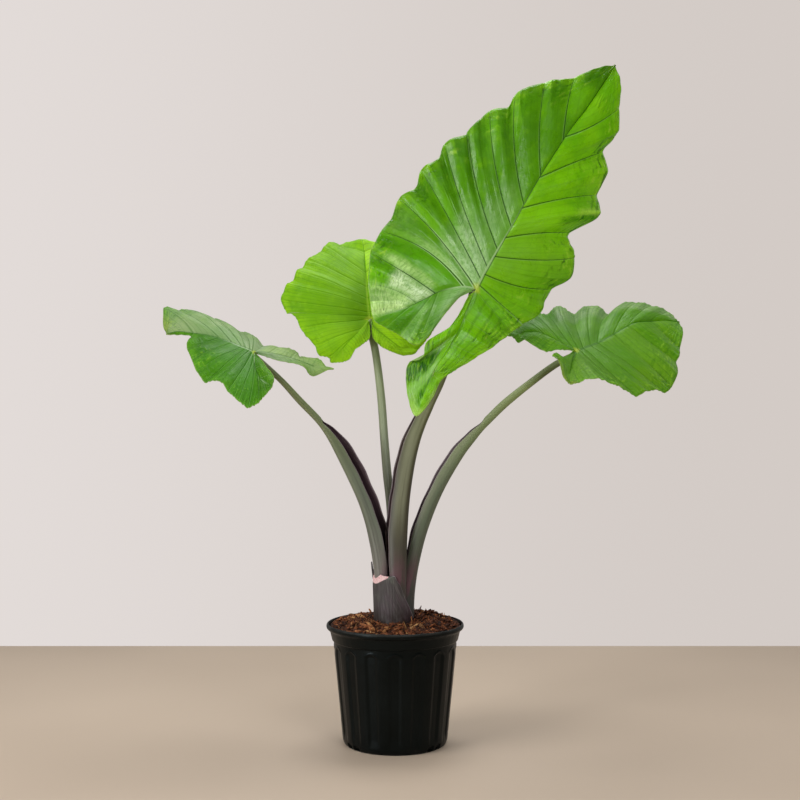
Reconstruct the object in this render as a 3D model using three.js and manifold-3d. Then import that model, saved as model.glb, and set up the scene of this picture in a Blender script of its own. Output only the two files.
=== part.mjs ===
// A potted giant taro: four arrow-shaped leaves on long sheathing stalks, in a fluted nursery pot.
// Millimetres, +Z up. The origin is the middle of the pot's base, on the surface it stands on.
import * as THREE from 'three';
import { mergeVertices } from 'three/addons/utils/BufferGeometryUtils.js';
import Module from 'manifold-3d';

const wasm = await Module();
wasm.setup();

// ---- driving dimensions ----------------------------------------------------------------------

const RIM_RADIUS = 127;          // half of the pot's 254 mm mouth
const POT_HEIGHT = 222;
const FLUTES = 16;
const FLUTE_DEPTH = 2.6;
const SEAT_GAP = 0.3;            // between pieces that touch
const BLADE_GAP = 0.8;           // between a stalk's head and its blade

const HOLE_RADIUS = 43;          // plain hole in the soil that the plant stands in
const HOLE_FLOOR = 140;
const STALK_FOOT = 205;          // where the stalks spring from the corm
const SOIL_EDGE = 209;           // soil level at the pot wall
const SOIL_MOUND = 14;           // how much higher it is in the middle

const BLADE = 1.7;               // blade thickness
const RIB_DEPTH = 1.5;           // how far the main veins stand out under the blade
const MIDRIB_DEPTH = 3;

// The leaves are drawn as a front elevation: x to the right and z up, in the plane of the pot's
// axis, seen from EYE. The third number is the depth behind that plane at which the point lies.
const EYE = { x: 9, distance: 2336, z: 634 };

function drawn([x, z, depth]) {
  const grow = 1 + depth / EYE.distance;
  return new THREE.Vector3(EYE.x + (x - EYE.x) * grow, depth, EYE.z + (z - EYE.z) * grow);
}

// ---- small helpers ---------------------------------------------------------------------------

const plant = new THREE.Group();

function addPiece(name, geometry, colour, roughness, metalness = 0) {
  const material = new THREE.MeshStandardMaterial({ color: colour, roughness, metalness });
  const mesh = new THREE.Mesh(geometry, material);
  mesh.name = name;
  plant.add(mesh);
  return mesh;
}

function geometryFrom(points, triangles) {
  const flat = new Float32Array(triangles.length * 9);
  triangles.forEach((corners, t) => {
    corners.forEach((c, k) => points[c].toArray(flat, t * 9 + k * 3));
  });
  const geometry = new THREE.BufferGeometry();
  geometry.setAttribute('position', new THREE.BufferAttribute(flat, 3));
  return geometry;
}

function welded(geometry) {
  const copy = geometry.clone();
  copy.deleteAttribute('normal');
  copy.deleteAttribute('uv');
  return mergeVertices(copy, 1e-3);
}

function solid(geometry) {
  const mesh = welded(geometry);
  return new wasm.Manifold(new wasm.Mesh({
    numProp: 3,
    vertProperties: new Float32Array(mesh.attributes.position.array),
    triVerts: new Uint32Array(mesh.index.array),
  }));
}

function geometryOf(manifold) {
  const mesh = manifold.getMesh();
  const geometry = new THREE.BufferGeometry();
  geometry.setAttribute('position', new THREE.BufferAttribute(new Float32Array(mesh.vertProperties), 3));
  geometry.setIndex(new THREE.BufferAttribute(new Uint32Array(mesh.triVerts), 1));
  return geometry;
}

const mix = (a, b, t) => a + (b - a) * t;
// 0 at `from`, 1 at `to`, with level ends.
const smooth = (from, to, v) => {
  const t = THREE.MathUtils.clamp((v - from) / (to - from), 0, 1);
  return t * t * (3 - 2 * t);
};

// A smooth curve through rows of [place, Vector3], read at any place.
function curveThrough(rows) {
  return (place) => {
    let i = 0;
    while (i < rows.length - 2 && place > rows[i + 1][0]) i += 1;
    const before = rows[Math.max(i - 1, 0)];
    const start = rows[i];
    const end = rows[i + 1];
    const after = rows[Math.min(i + 2, rows.length - 1)];
    const span = end[0] - start[0];
    const t = THREE.MathUtils.clamp((place - start[0]) / span, 0, 1);
    const slopeIn = end[1].clone().sub(before[1]).multiplyScalar(span / (end[0] - before[0]));
    const slopeOut = after[1].clone().sub(start[1]).multiplyScalar(span / (after[0] - start[0]));
    return start[1].clone().multiplyScalar(2 * t ** 3 - 3 * t ** 2 + 1)
      .addScaledVector(slopeIn, t ** 3 - 2 * t ** 2 + t)
      .addScaledVector(end[1], 3 * t ** 2 - 2 * t ** 3)
      .addScaledVector(slopeOut, t ** 3 - t ** 2);
  };
}

// Skin between rings that each hold the same number of points; closed rings, closed ends.
function loftGeometry(rings) {
  const points = rings.flat();
  const count = rings[0].length;
  const triangles = [];
  for (let r = 0; r < rings.length - 1; r += 1) {
    for (let k = 0; k < count; k += 1) {
      const a = r * count + k;
      const b = r * count + ((k + 1) % count);
      triangles.push([a, b, b + count], [a, b + count, a + count]);
    }
  }
  for (const [ring, turn] of [[0, 1], [rings.length - 1, 0]]) {
    const centre = new THREE.Vector3();
    rings[ring].forEach((p) => centre.addScaledVector(p, 1 / count));
    points.push(centre);
    for (let k = 0; k < count; k += 1) {
      const a = ring * count + k;
      const b = ring * count + ((k + 1) % count);
      triangles.push(turn ? [b, a, points.length - 1] : [a, b, points.length - 1]);
    }
  }
  return geometryFrom(points, triangles);
}

// ---- pot ------------------------------------------------------------------------------------

// How deep the flutes are pressed in at a turn and a height; each ends in an arch under the rim.
const FLUTE_TOP = 183;
const FLUTE_FOOT = 8;
const FLUTE_ARCH = 9;            // height over which a flute runs out at its arch
const FLUTE_CURVE = 4;           // how much lower the arch starts at a flute's sides

function fluteAt(angle, z) {
  const across = Math.cos((angle + Math.PI / 2) * FLUTES);       // 1 in the middle of a flute
  const arch = smooth(FLUTE_TOP, FLUTE_TOP - FLUTE_ARCH, z + FLUTE_CURVE * (1 - across));
  const foot = smooth(FLUTE_FOOT, FLUTE_FOOT + FLUTE_ARCH, z);
  return FLUTE_DEPTH * Math.max(0, 0.5 + 0.5 * across) * arch * foot;
}

// [radius, z] from the lip down the outside, then up the inside.
const POT_OUTSIDE = [[125, POT_HEIGHT], [RIM_RADIUS, 219], [126, 213], [116, 203], [113.5, 194],
  [110.9, 192.5], [110.3, FLUTE_TOP + 1], [109.9, FLUTE_TOP - 8], [96, 18], [94.6, FLUTE_FOOT],
  [92, 2.5], [87, 0]];
const POT_INSIDE = [[85, 2.4], [91.5, 6], [94.3, 18], [108.1, FLUTE_TOP - 8],
  [108.6, FLUTE_TOP + 1], [110.8, 199], [122.5, 217], [123.4, POT_HEIGHT - 0.6]];

function revolved(profile, steps, radiusAt) {
  const points = [];
  const triangles = [];
  const rows = profile.length;
  for (let a = 0; a < steps; a += 1) {
    const angle = (a / steps) * 2 * Math.PI;
    profile.forEach(([radius, z]) => {
      const [r, height] = radiusAt(radius, z, angle);
      points.push(new THREE.Vector3(r * Math.cos(angle), r * Math.sin(angle), height));
    });
  }
  for (let a = 0; a < steps; a += 1) {
    const here = a * rows;
    const next = ((a + 1) % steps) * rows;
    for (let i = 0; i < rows - 1; i += 1) {
      triangles.push([here + i, here + i + 1, next + i + 1], [here + i, next + i + 1, next + i]);
    }
  }
  return { points, triangles, rows, steps };
}

function capRing({ points, triangles, rows, steps }, row, z, outward) {
  const centre = points.push(new THREE.Vector3(0, 0, z)) - 1;
  for (let a = 0; a < steps; a += 1) {
    const here = a * rows + row;
    const next = ((a + 1) % steps) * rows + row;
    triangles.push(outward ? [here, centre, next] : [here, next, centre]);
  }
}

function potGeometry() {
  const fluted = (radius, z, angle) => [radius - fluteAt(angle, z), z];
  const outside = revolved(POT_OUTSIDE, FLUTES * 4, fluted);
  capRing(outside, POT_OUTSIDE.length - 1, 0, true);
  const inside = revolved(POT_INSIDE, FLUTES * 4, fluted);
  capRing(inside, 0, POT_INSIDE[0][1], false);
  const shift = outside.points.length;
  const points = [...outside.points, ...inside.points];
  const triangles = [...outside.triangles, ...inside.triangles.map((t) => t.map((c) => c + shift))];
  const { steps } = outside;
  for (let a = 0; a < steps; a += 1) {
    const b = (a + 1) % steps;
    const [outA, outB] = [a * outside.rows, b * outside.rows];
    const [inA, inB] = [a, b].map((k) => shift + (k + 1) * inside.rows - 1);
    triangles.push([outA, outB, inB], [outA, inB, inA]);
  }
  return geometryFrom(points, triangles);
}

// Drain notches stand in pairs at the lower edge, one pair in each quarter.
const NOTCH_PAIRS = [38, 138, 218, 318];
const NOTCH_SPREAD = 6;          // degrees from the middle of a pair to each notch
const NOTCH = { depth: 16, width: 8, height: 9, radius: 92, z: 7.5 };

function drainedPot() {
  let pot = solid(potGeometry());
  for (const pair of NOTCH_PAIRS) {
    for (const side of [-NOTCH_SPREAD, NOTCH_SPREAD]) {
      const angle = THREE.MathUtils.degToRad(pair + side);
      const notch = new THREE.BoxGeometry(NOTCH.depth, NOTCH.width, NOTCH.height);
      notch.rotateZ(angle);
      notch.translate(NOTCH.radius * Math.cos(angle), NOTCH.radius * Math.sin(angle), NOTCH.z);
      pot = pot.subtract(solid(notch));
    }
  }
  return geometryOf(pot);
}

// ---- soil and corm --------------------------------------------------------------------------

function soilTop(radius, angle) {
  const ease = 1 - radius / 112;
  const lumps = 1.7 * Math.sin(5 * angle + radius * 0.19) + 1.3 * Math.sin(11 * angle - radius * 0.27)
    + 1.2 * Math.sin(3 * angle + radius * 0.4);
  return SOIL_EDGE + SOIL_MOUND * smooth(0, 0.6, ease) + lumps;
}

function soilGeometry() {
  const fit = SEAT_GAP + 0.25;
  const profile = [[HOLE_RADIUS, HOLE_FLOOR], [HOLE_RADIUS, null], [50, null], [60, null], [72, null],
    [84, null], [97, null], [107.8, null], [107.8, 196], [108.1 - FLUTE_DEPTH - fit, FLUTE_TOP - 12],
    [94.3 - FLUTE_DEPTH - fit, 18], [84, 6 + fit], [60, 2.4 + fit]];
  const body = revolved(profile, 44, (r, z, angle) => [r, z ?? soilTop(r, angle)]);
  capRing(body, 0, HOLE_FLOOR, false);
  capRing(body, profile.length - 1, 2.4 + fit, true);
  return geometryFrom(body.points, body.triangles);
}

function cormGeometry() {
  const foot = HOLE_FLOOR + SEAT_GAP;
  const head = STALK_FOOT - SEAT_GAP;
  const side = [[24, foot], [33, foot + 8], [38, foot + 26], [39, head - 10], [37, head]];
  const profile = [[0, foot], ...side, [0, head]].map(([r, z]) => new THREE.Vector2(r, z));
  const geometry = new THREE.LatheGeometry(profile, 20);
  geometry.rotateX(Math.PI / 2);
  return geometry;
}

// ---- blades ---------------------------------------------------------------------------------

// Veins are numbered along each half: 0 is the tip, 1 to 8 leave the midrib, 8 is the junction with
// the stalk, 9 to 11 leave the rib of the hind lobe, 11 to 13 fan from its end, 14 to 16 are on the
// side of the notch. `midrib` runs from tip to junction and `rib` from the junction into the lobe.
// A margin row is [vein number, x, z, depth].
const JUNCTION = 8;
const LAST_VEIN = 16;
const MIDRIB_PLACES = [1, 0.69, 0.49, 0.37, 0.26, 0.17, 0.085, 0.035, 0];
const LOBE_PLACES = [[8, 0], [9, 0.33], [10, 0.66], [11, 1], [13, 1], [14, 0.6], [15, 0.28], [16, 0.03]];

const LEAVES = {
  front: {
    arch: 0.09,
    camber: 0.03,
    ripple: 3.5,
    midrib: [[408, 1255, 180], [356, 1177, 140], [320, 1129, 116], [267, 1046, 80], [215, 955, 46],
      [187, 908, 30], [168, 875, 20], [150, 840, 10]],
    left: {
      rib: [[126, 844, 6], [85, 836, -2], [55, 821, -10], [31, 803, -16]],
      margin: [[0, 408, 1255, 180], [0.5, 378, 1248, 169], [1, 332, 1231, 151], [2, 278, 1222, 137],
        [2.5, 246, 1212, 128], [3, 222, 1199, 120], [3.5, 207, 1174, 109], [4, 176, 1170, 104],
        [4.5, 157, 1153, 97], [5, 135, 1133, 88], [5.5, 128, 1123, 84], [6, 92, 1109, 78],
        [6.5, 79, 1079, 66], [7, 48, 1060, 60], [7.5, 37, 1025, 47], [8, 7, 1007, 42],
        [8.5, -8, 968, 29], [9, -26, 947, 23], [9.5, -39, 920, 15], [10, -48, 894, 7],
        [11, -50, 838, -11], [12, -41, 786, -26], [12.5, 9, 753, -18], [13, 42, 736, -23],
        [14, 76, 771, -16], [15, 113, 819, -1], [16, 139, 834, 7]],
    },
    right: {
      rib: [[133, 801, 1], [118, 764, -8], [96, 727, -19], [70, 686, -31]],
      margin: [[0, 408, 1255, 180], [0.5, 413, 1220, 176], [1, 415, 1175, 166], [1.3, 411, 1138, 167],
        [1.6, 400, 1116, 166], [2, 385, 1094, 157], [2.5, 389, 1057, 145], [3, 374, 1014, 146],
        [3.4, 376, 983, 130], [3.7, 367, 968, 132], [4, 324, 944, 121], [4.3, 319, 929, 114],
        [5, 332, 897, 111], [5.5, 319, 858, 114], [6, 291, 840, 104], [6.5, 274, 818, 87],
        [7, 263, 792, 77], [8, 237, 775, 42], [9, 194, 743, 18], [10, 154, 716, -2], [11, 113, 690, -17],
        [12, 85, 669, -28], [12.5, 65, 634, -30], [13, 37, 604, -38], [13.5, 18, 656, -22],
        [14, 24, 701, -17], [14.4, 48, 712, -28], [14.7, 57, 742, -25], [15, 98, 766, -13],
        [16, 137, 829, 5]],
    },
  },
  back: {
    arch: 0.05,
    camber: 0.05,
    ripple: 3,
    midrib: [[-65, 920, 330], [-61, 931, 245], [-58, 912, 215], [-56, 888, 185], [-54, 856, 152],
      [-52, 827, 130], [-50, 805, 118], [-48, 784, 110]],
    left: {
      rib: [[-58, 771, 100], [-71, 758, 91], [-84, 745, 84], [-97, 730, 80]],
      margin: [[0, -65, 920, 330], [0.5, -84, 923, 318], [1, -106, 920, 290], [1.5, -117, 923, 255],
        [2, -130, 920, 225], [2.5, -141, 903, 212], [3, -163, 894, 195], [3.5, -171, 877, 182],
        [4, -182, 875, 168], [4.5, -189, 853, 158], [5, -201, 849, 148], [5.5, -206, 834, 142],
        [6, -212, 819, 134], [6.6, -202, 795, 128], [7, -195, 795, 124], [7.5, -184, 784, 118],
        [8, -176, 767, 112], [8.5, -165, 749, 104], [9, -149, 734, 98], [9.5, -143, 716, 92],
        [10, -124, 712, 88], [11, -119, 703, 84], [12, -100, 704, 74], [13, -84, 710, 70],
        [13.5, -74, 727, 72], [14, -65, 736, 74], [15, -49, 747, 82], [16, -50, 779, 104]],
    },
    right: {
      rib: [[-39, 771, 100], [-23, 756, 91], [-6, 743, 84], [9, 732, 80]],
      margin: [[0, -65, 920, 330], [0.5, -43, 923, 318], [1, -19, 920, 290], [2, 9, 916, 240],
        [3, 42, 890, 200], [4, 61, 871, 172], [5, 76, 845, 150], [6, 85, 819, 136], [7, 83, 793, 126],
        [8, 76, 771, 114], [9, 65, 753, 104], [10, 53, 738, 96], [11, 44, 729, 90], [12, 35, 719, 78],
        [12.5, 16, 716, 74], [13, 0, 721, 72], [14, -17, 734, 74], [15, -35, 749, 82],
        [16, -43, 779, 104]],
    },
  },
  left: {
    arch: 0.05,
    camber: 0.05,
    ripple: 3,
    midrib: [[-423, 756, 100], [-403, 760, 90], [-380, 758, 72], [-343, 753, 42], [-315, 745, 20],
      [-288, 734, 0], [-275, 729, -10], [-262, 723, -20]],
    left: {
      rib: [[-262, 712, -42], [-260, 697, -66], [-256, 684, -88], [-251, 673, -106]],
      margin: [[0, -423, 756, 100], [0.5, -406, 755, 84], [1, -380, 753, 52], [1.5, -384, 742, 34],
        [2, -386, 729, 14], [3, -378, 710, -22], [4, -369, 688, -54], [5, -353, 666, -84],
        [6, -334, 669, -100], [6.5, -319, 662, -110], [7, -310, 649, -118], [8, -291, 632, -130],
        [9, -273, 619, -140], [10, -254, 628, -146], [11, -239, 645, -146], [12, -230, 656, -142],
        [12.5, -225, 667, -134], [13, -225, 678, -122], [14, -238, 695, -92], [15, -249, 710, -54],
        [16, -258, 719, -26]],
    },
    right: {
      rib: [[-243, 723, 0], [-213, 717, 22], [-182, 708, 38], [-152, 697, 45]],
      margin: [[0, -423, 756, 100], [0.3, -430, 769, 106], [0.7, -430, 788, 120], [1, -429, 805, 134],
        [2, -408, 799, 146], [3, -384, 801, 152], [3.5, -369, 795, 152], [4, -351, 786, 148],
        [5, -321, 780, 146], [5.5, -308, 767, 142], [6, -289, 760, 138], [7, -271, 756, 132],
        [7.5, -256, 742, 126], [8, -243, 730, 120], [9, -212, 729, 112], [10, -182, 723, 98],
        [10.5, -175, 712, 88], [11, -145, 712, 72], [12, -126, 695, 50], [12.4, -113, 691, 42],
        [12.7, -126, 688, 38], [13, -152, 678, 28], [14, -171, 697, 10], [14.5, -191, 701, 4],
        [15, -219, 708, -6], [16, -254, 719, -17]],
    },
  },
  right: {
    arch: 0.05,
    camber: 0.05,
    ripple: 3,
    midrib: [[526, 779, 172], [500, 780, 158], [478, 780, 142], [443, 777, 110], [421, 766, 90],
      [380, 743, 52], [358, 734, 36], [335, 725, 20]],
    left: {
      rib: [[320, 734, 34], [293, 749, 56], [265, 760, 74], [239, 760, 84]],
      margin: [[0, 526, 779, 172], [0.5, 519, 784, 182], [1, 506, 797, 188], [2, 476, 808, 198],
        [3, 448, 814, 204], [3.5, 422, 810, 204], [4, 396, 793, 200], [4.5, 380, 803, 198],
        [5, 361, 808, 194], [5.5, 346, 803, 188], [6, 332, 793, 182], [6.5, 317, 799, 178],
        [7, 302, 808, 174], [8, 282, 793, 168], [9, 259, 793, 156], [10, 233, 786, 138],
        [11, 213, 773, 116], [12, 207, 755, 94], [12.5, 219, 749, 84], [13, 228, 740, 76],
        [13.5, 239, 745, 70], [14, 252, 738, 60], [14.5, 276, 723, 46], [15, 298, 727, 36],
        [16, 330, 727, 22]],
    },
    right: {
      rib: [[332, 714, -4], [328, 703, -30], [326, 693, -52], [324, 684, -70]],
      margin: [[0, 526, 779, 172], [0.4, 532, 764, 150], [0.7, 532, 749, 126], [1, 528, 730, 100],
        [1.6, 526, 712, 76], [2, 521, 703, 62], [2.4, 523, 682, 38], [3, 513, 658, 8],
        [4, 500, 647, -14], [5, 474, 651, -44], [6, 447, 640, -68], [7, 424, 653, -84],
        [8, 400, 664, -94], [9, 363, 673, -102], [10, 341, 666, -102], [11, 324, 664, -98],
        [12, 311, 678, -86], [12.6, 306, 697, -66], [13, 300, 712, -48], [13.4, 291, 716, -38],
        [13.8, 300, 721, -28], [14.3, 311, 714, -16], [15, 319, 717, -4], [16, 330, 725, 14]],
    },
  },
};

// Where the rows of vertices lie: close to each main vein, and one on the crest between two veins.
const TIP_ROWS = [0, 0.35, 0.7];
const BLADE_ROWS = [0, 0.14, 0.5, 0.86];
const LOBE_ROWS = [0, 0.5];
const ACROSS = [0, 0.3, 0.66, 1];
const LOBE_END_ARCH = 0.3;       // share of the arch that the veins past the lobe's end keep
const RIPPLE_REACH = 60;         // a half narrower than this has less ripple
const EDGE_GROWTH = 0.12;        // how far a blade grown by 1 mm passes its own margin

function halfFrame(leaf, name) {
  const half = leaf[name];
  const midribPoints = leaf.midrib.map(drawn);
  const total = midribPoints.length - 1;
  const midrib = curveThrough(midribPoints.map((p, i) => [1 - i / total, p]).reverse());
  const junction = midribPoints[total];
  const rib = curveThrough([junction, ...half.rib.map(drawn)].map((p, i) => [i / half.rib.length, p]));
  const margin = curveThrough(half.margin.map(([place, ...at]) => [place, drawn(at)]));
  const rootAt = (s) => {
    if (s <= JUNCTION) {
      const i = Math.min(Math.floor(s), JUNCTION - 1);
      return midrib(mix(MIDRIB_PLACES[i], MIDRIB_PLACES[i + 1], s - i));
    }
    const i = LOBE_PLACES.findIndex(([place]) => place >= s);
    const [from, to] = [LOBE_PLACES[i - 1], LOBE_PLACES[i]];
    return rib(mix(from[1], to[1], (s - from[0]) / (to[0] - from[0])));
  };
  const forward = midribPoints[0].clone().sub(junction).normalize();
  const sideways = margin(6).sub(rootAt(6));
  const up = new THREE.Vector3().crossVectors(forward, sideways).normalize();
  if (name === 'right') up.negate();
  return { rootAt, margin, midrib, forward, up };
}

// The half's surface at vein number s and t = 0 at the rib to 1 at the margin.
function bladePoint(leaf, frame, s, t) {
  const root = frame.rootAt(s);
  const edge = frame.margin(s);
  const reach = edge.clone().sub(root);
  const length = reach.length();
  const sideways = frame.forward.clone().addScaledVector(reach, -frame.forward.dot(reach) / (length ** 2 || 1));
  const bend = 4 * t * (1 - t);
  const crest = Math.abs(Math.sin(Math.PI * s));
  const lift = leaf.camber * length * bend + leaf.ripple * crest * t * smooth(0, RIPPLE_REACH, length);
  return root.addScaledVector(reach, t)
    .addScaledVector(sideways, -leaf.arch * length * bend * (s > JUNCTION + 3 ? LOBE_END_ARCH : 1))
    .addScaledVector(frame.up, lift);
}

function bladeSheet(leaf, grow) {
  const points = [];
  const thickness = [];
  const triangles = [];
  for (const [name, hand] of [['left', 1], ['right', -1]]) {
    const frame = halfFrame(leaf, name);
    const places = [];
    for (let vein = 0; vein < LAST_VEIN; vein += 1) {
      const rows = vein > JUNCTION ? LOBE_ROWS : BLADE_ROWS;
      (vein === 0 ? TIP_ROWS : rows).forEach((step) => places.push(vein + step));
    }
    places.push(LAST_VEIN);
    const first = points.length;
    for (const s of places) {
      const onVein = Math.abs(s - Math.round(s)) < 0.01 ? RIB_DEPTH : 0;
      for (const across of ACROSS) {
        const t = across * (1 + grow * EDGE_GROWTH);
        points.push(bladePoint(leaf, frame, s, t));
        const rib = across === 0 ? MIDRIB_DEPTH * mix(1, 0.3, Math.min(1, Math.abs(s - JUNCTION) / JUNCTION)) : 0;
        thickness.push(BLADE + Math.max(rib, onVein * (1 - t)));
      }
    }
    for (let r = 0; r < places.length - 1; r += 1) {
      for (let k = 0; k < ACROSS.length - 1; k += 1) {
        const a = first + r * ACROSS.length + k;
        const b = a + ACROSS.length;
        const quad = [[a, a + 1, b + 1], [a, b + 1, b]];
        quad.forEach((t) => triangles.push(hand > 0 ? t : t.reverse()));
      }
    }
  }
  return { points, thickness, triangles };
}

// Gives the sheet its thickness: the upper face lies on the sheet, the under face hangs below it.
function bladeGeometry(leaf, grow = 0) {
  const sheet = bladeSheet(leaf, grow);
  const names = new Map();
  const points = [];
  const thickness = [];
  const index = sheet.points.map((p, i) => {
    const name = p.toArray().map((v) => v.toFixed(2)).join(' ');
    if (!names.has(name)) {
      names.set(name, points.push(p) - 1);
      thickness.push(sheet.thickness[i]);
    }
    thickness[names.get(name)] = Math.max(thickness[names.get(name)], sheet.thickness[i]);
    return names.get(name);
  });
  const faces = sheet.triangles.map((t) => t.map((c) => index[c]))
    .filter(([a, b, c]) => a !== b && b !== c && c !== a);
  const normals = points.map(() => new THREE.Vector3());
  for (const [a, b, c] of faces) {
    const normal = points[b].clone().sub(points[a]).cross(points[c].clone().sub(points[a]));
    [a, b, c].forEach((k) => normals[k].add(normal));
  }
  normals.forEach((n) => n.normalize());
  const count = points.length;
  const upper = points.map((p, i) => p.clone().addScaledVector(normals[i], grow));
  const lower = points.map((p, i) => p.clone().addScaledVector(normals[i], -thickness[i] - grow));
  const edges = new Set(faces.flatMap(([a, b, c]) => [`${a} ${b}`, `${b} ${c}`, `${c} ${a}`]));
  const triangles = [];
  for (const [a, b, c] of faces) {
    triangles.push([a, b, c], [c + count, b + count, a + count]);
    for (const [from, to] of [[a, b], [b, c], [c, a]]) {
      if (!edges.has(`${to} ${from}`)) {
        triangles.push([to, from, from + count], [to, from + count, to + count]);
      }
    }
  }
  return geometryFrom([...upper, ...lower], triangles);
}

// ---- stalks ---------------------------------------------------------------------------------

// Each row: [x, z, depth] on the drawing, the stalk's radius, how far its sheath wings reach.
const STALKS = {
  front: {
    opensTo: [-1, 0.35],
    rows: [
      [[3, 205, -17], 16, 0], [[3, 240, -17], 16.5, 0], [[5, 300, -16], 17, 4], [[9, 380, -12], 16.5, 12],
      [[14, 450, -6], 15.2, 15], [[22, 515, 1], 13.4, 13.5], [[33, 560, 7], 12, 12], [[43, 592, 11], 11, 8],
      [[53, 618, 14], 10.6, 0], [[79, 672, 18], 9.8, 0], [[112, 752, 19], 9, 0],
    ],
  },
  left: {
    opensTo: [1, 0.1],
    rows: [
      [[-20, 205, -3], 15, 0], [[-20, 240, -3], 15, 0], [[-25, 282, -4], 14.4, 2], [[-28, 330, -5], 13, 8],
      [[-36, 368, -6], 11.4, 14], [[-50, 415, -8], 10, 21], [[-66, 462, -11], 9, 25], [[-105, 539, -15], 7.2, 22],
      [[-124, 573, -16], 6.7, 13], [[-143, 598, -17], 6.3, 0], [[-176, 632, -19], 6.3, 0],
      [[-213, 672, -21], 5.4, 0],
    ],
  },
  right: {
    opensTo: [-1, 0.1],
    rows: [
      [[20, 205, -1], 15, 0], [[20, 240, -1], 15, 0], [[23, 283, 0], 14.2, 2], [[31, 331, 2], 13.4, 8],
      [[49, 396, 5], 12, 14], [[79, 467, 9], 10.4, 15.5], [[118, 532, 12], 8.7, 15], [[146, 569, 15], 8, 11],
      [[159, 583, 16], 7.8, 5], [[169, 588, 17], 7.6, 0], [[204, 627, 20], 7.8, 0], [[250, 665, 23], 6.9, 0],
      [[298, 700, 25], 6.4, 0],
    ],
  },
  back: {
    opensTo: [0.2, -1],
    rows: [
      [[-1, 205, 18], 14, 0], [[-1, 240, 18], 13.5, 0], [[-2, 300, 20], 12, 4], [[-3, 360, 26], 11, 10],
      [[-6, 420, 34], 9.6, 8], [[-9, 450, 40], 8.8, 0], [[-15, 500, 51], 8.4, 0], [[-20, 560, 65], 8, 0],
      [[-26, 640, 84], 7.8, 0], [[-36, 720, 106], 7.4, 0],
    ],
  },
};
const WING = 2;                  // thickness of a sheath wing

// A C-shaped section: a round stalk whose two wings reach towards `inward`.
function stalkSection(centre, inward, side, radius, wing, grow) {
  const ring = [];
  const at = (turn, r, reach) => {
    const angle = THREE.MathUtils.degToRad(turn);
    ring.push(centre.clone()
      .addScaledVector(inward, -Math.cos(angle) * r + reach)
      .addScaledVector(side, Math.sin(angle) * r));
  };
  const r = radius + grow;
  const reach = wing > 0 ? wing + grow : 0;
  for (let turn = -90; turn <= 90; turn += 22.5) at(turn, r, 0);
  at(104, r, reach);
  at(116, r - (reach > 0 ? WING * 0.5 : 0), reach);
  at(140, r, 0);
  at(180, r, 0);
  at(220, r, 0);
  at(244, r - (reach > 0 ? WING * 0.5 : 0), reach);
  at(256, r, reach);
  return ring;
}

// The stalk ends under the junction and runs out along the under side of the midrib.
const RUN_OUT = [[0, 1], [0.05, 0.72], [0.12, 0.42], [0.2, 0.25]];

function stalkHead(leaf, radius) {
  const frame = halfFrame(leaf, 'left');
  const up = frame.up.clone().add(halfFrame(leaf, 'right').up).normalize();
  const under = BLADE + MIDRIB_DEPTH + BLADE_GAP;
  return RUN_OUT.map(([along, share]) => (
    [frame.midrib(along).addScaledVector(up, -radius * share - under), radius * share, 0]
  ));
}

function stalkGeometry(name, grow = 0) {
  const { rows, opensTo } = STALKS[name];
  const topRadius = rows[rows.length - 1][1];
  const allRows = [...rows.map(([place, r, wing]) => [drawn(place), r, wing]), ...stalkHead(LEAVES[name], topRadius)];
  const places = allRows.map(([place]) => place);
  places[0].z = STALK_FOOT;
  const axis = new THREE.CatmullRomCurve3(places, false, 'centripetal');
  const rings = allRows.map(([, radius, wing], i) => {
    const t = i / (allRows.length - 1);
    const tangent = i < 2 ? new THREE.Vector3(0, 0, 1) : axis.getTangent(t);
    const inward = new THREE.Vector3(opensTo[0], opensTo[1], 0);
    inward.addScaledVector(tangent, -inward.dot(tangent)).normalize();
    const side = new THREE.Vector3().crossVectors(inward, tangent);
    return stalkSection(places[i], inward, side, radius, wing, grow);
  });
  return loftGeometry(rings);
}

// ---- cut sheath -----------------------------------------------------------------------------

// The base of a cut leaf: a fleshy wrap round the left and front of the stalks, thick where the
// stalk was cut and running out thin to its free margin, which slopes down to the right.
const CUT_TOP = 300;
const CUT_OUTER = 41;
const CUT_TURN = [-200, -24];    // from the left, round the front, to the free margin
const CUT_THICK = [9, 3.2];
const CUT_DROP = 88;             // how far the free margin falls below the top

function cutSheathGeometry() {
  const turns = 16;
  const heights = 5;
  const rings = [];
  for (let i = 0; i <= turns; i += 1) {
    const t = i / turns;
    const angle = THREE.MathUtils.degToRad(mix(...CUT_TURN, t));
    const thick = mix(...CUT_THICK, smooth(0.12, 0.75, t));
    const free = smooth(0.55, 1, t);
    const top = CUT_TOP + mix(22, 0, smooth(0, 0.35, t)) + 14 * smooth(0.3, 0.6, t) - CUT_DROP * free;
    const ring = [];
    for (const inner of [0, 1]) {
      for (let h = 0; h <= heights; h += 1) {
        const up = inner ? h / heights : 1 - h / heights;
        const r = CUT_OUTER - 2.5 * smooth(0.1, 1, up) - inner * thick;
        ring.push(new THREE.Vector3(r * Math.cos(angle), r * 0.92 * Math.sin(angle) + 1, mix(STALK_FOOT, top, up)));
      }
    }
    rings.push(ring);
  }
  return loftGeometry(rings);
}

// ---- assembly -------------------------------------------------------------------------------

addPiece('nursery_pot', drainedPot(), 0x1b1c1b, 0.45);
addPiece('potting_soil', soilGeometry(), 0x5b3322, 0.95);
addPiece('corm', cormGeometry(), 0x6a5240, 0.9);

const LEAF_COLOURS = { front: 0x4f9a10, back: 0x74ae12, left: 0x3f7d18, right: 0x4a8a1a };
for (const [name, leaf] of Object.entries(LEAVES)) {
  addPiece(`leaf_${name}`, bladeGeometry(leaf), LEAF_COLOURS[name], 0.4);
}

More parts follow.
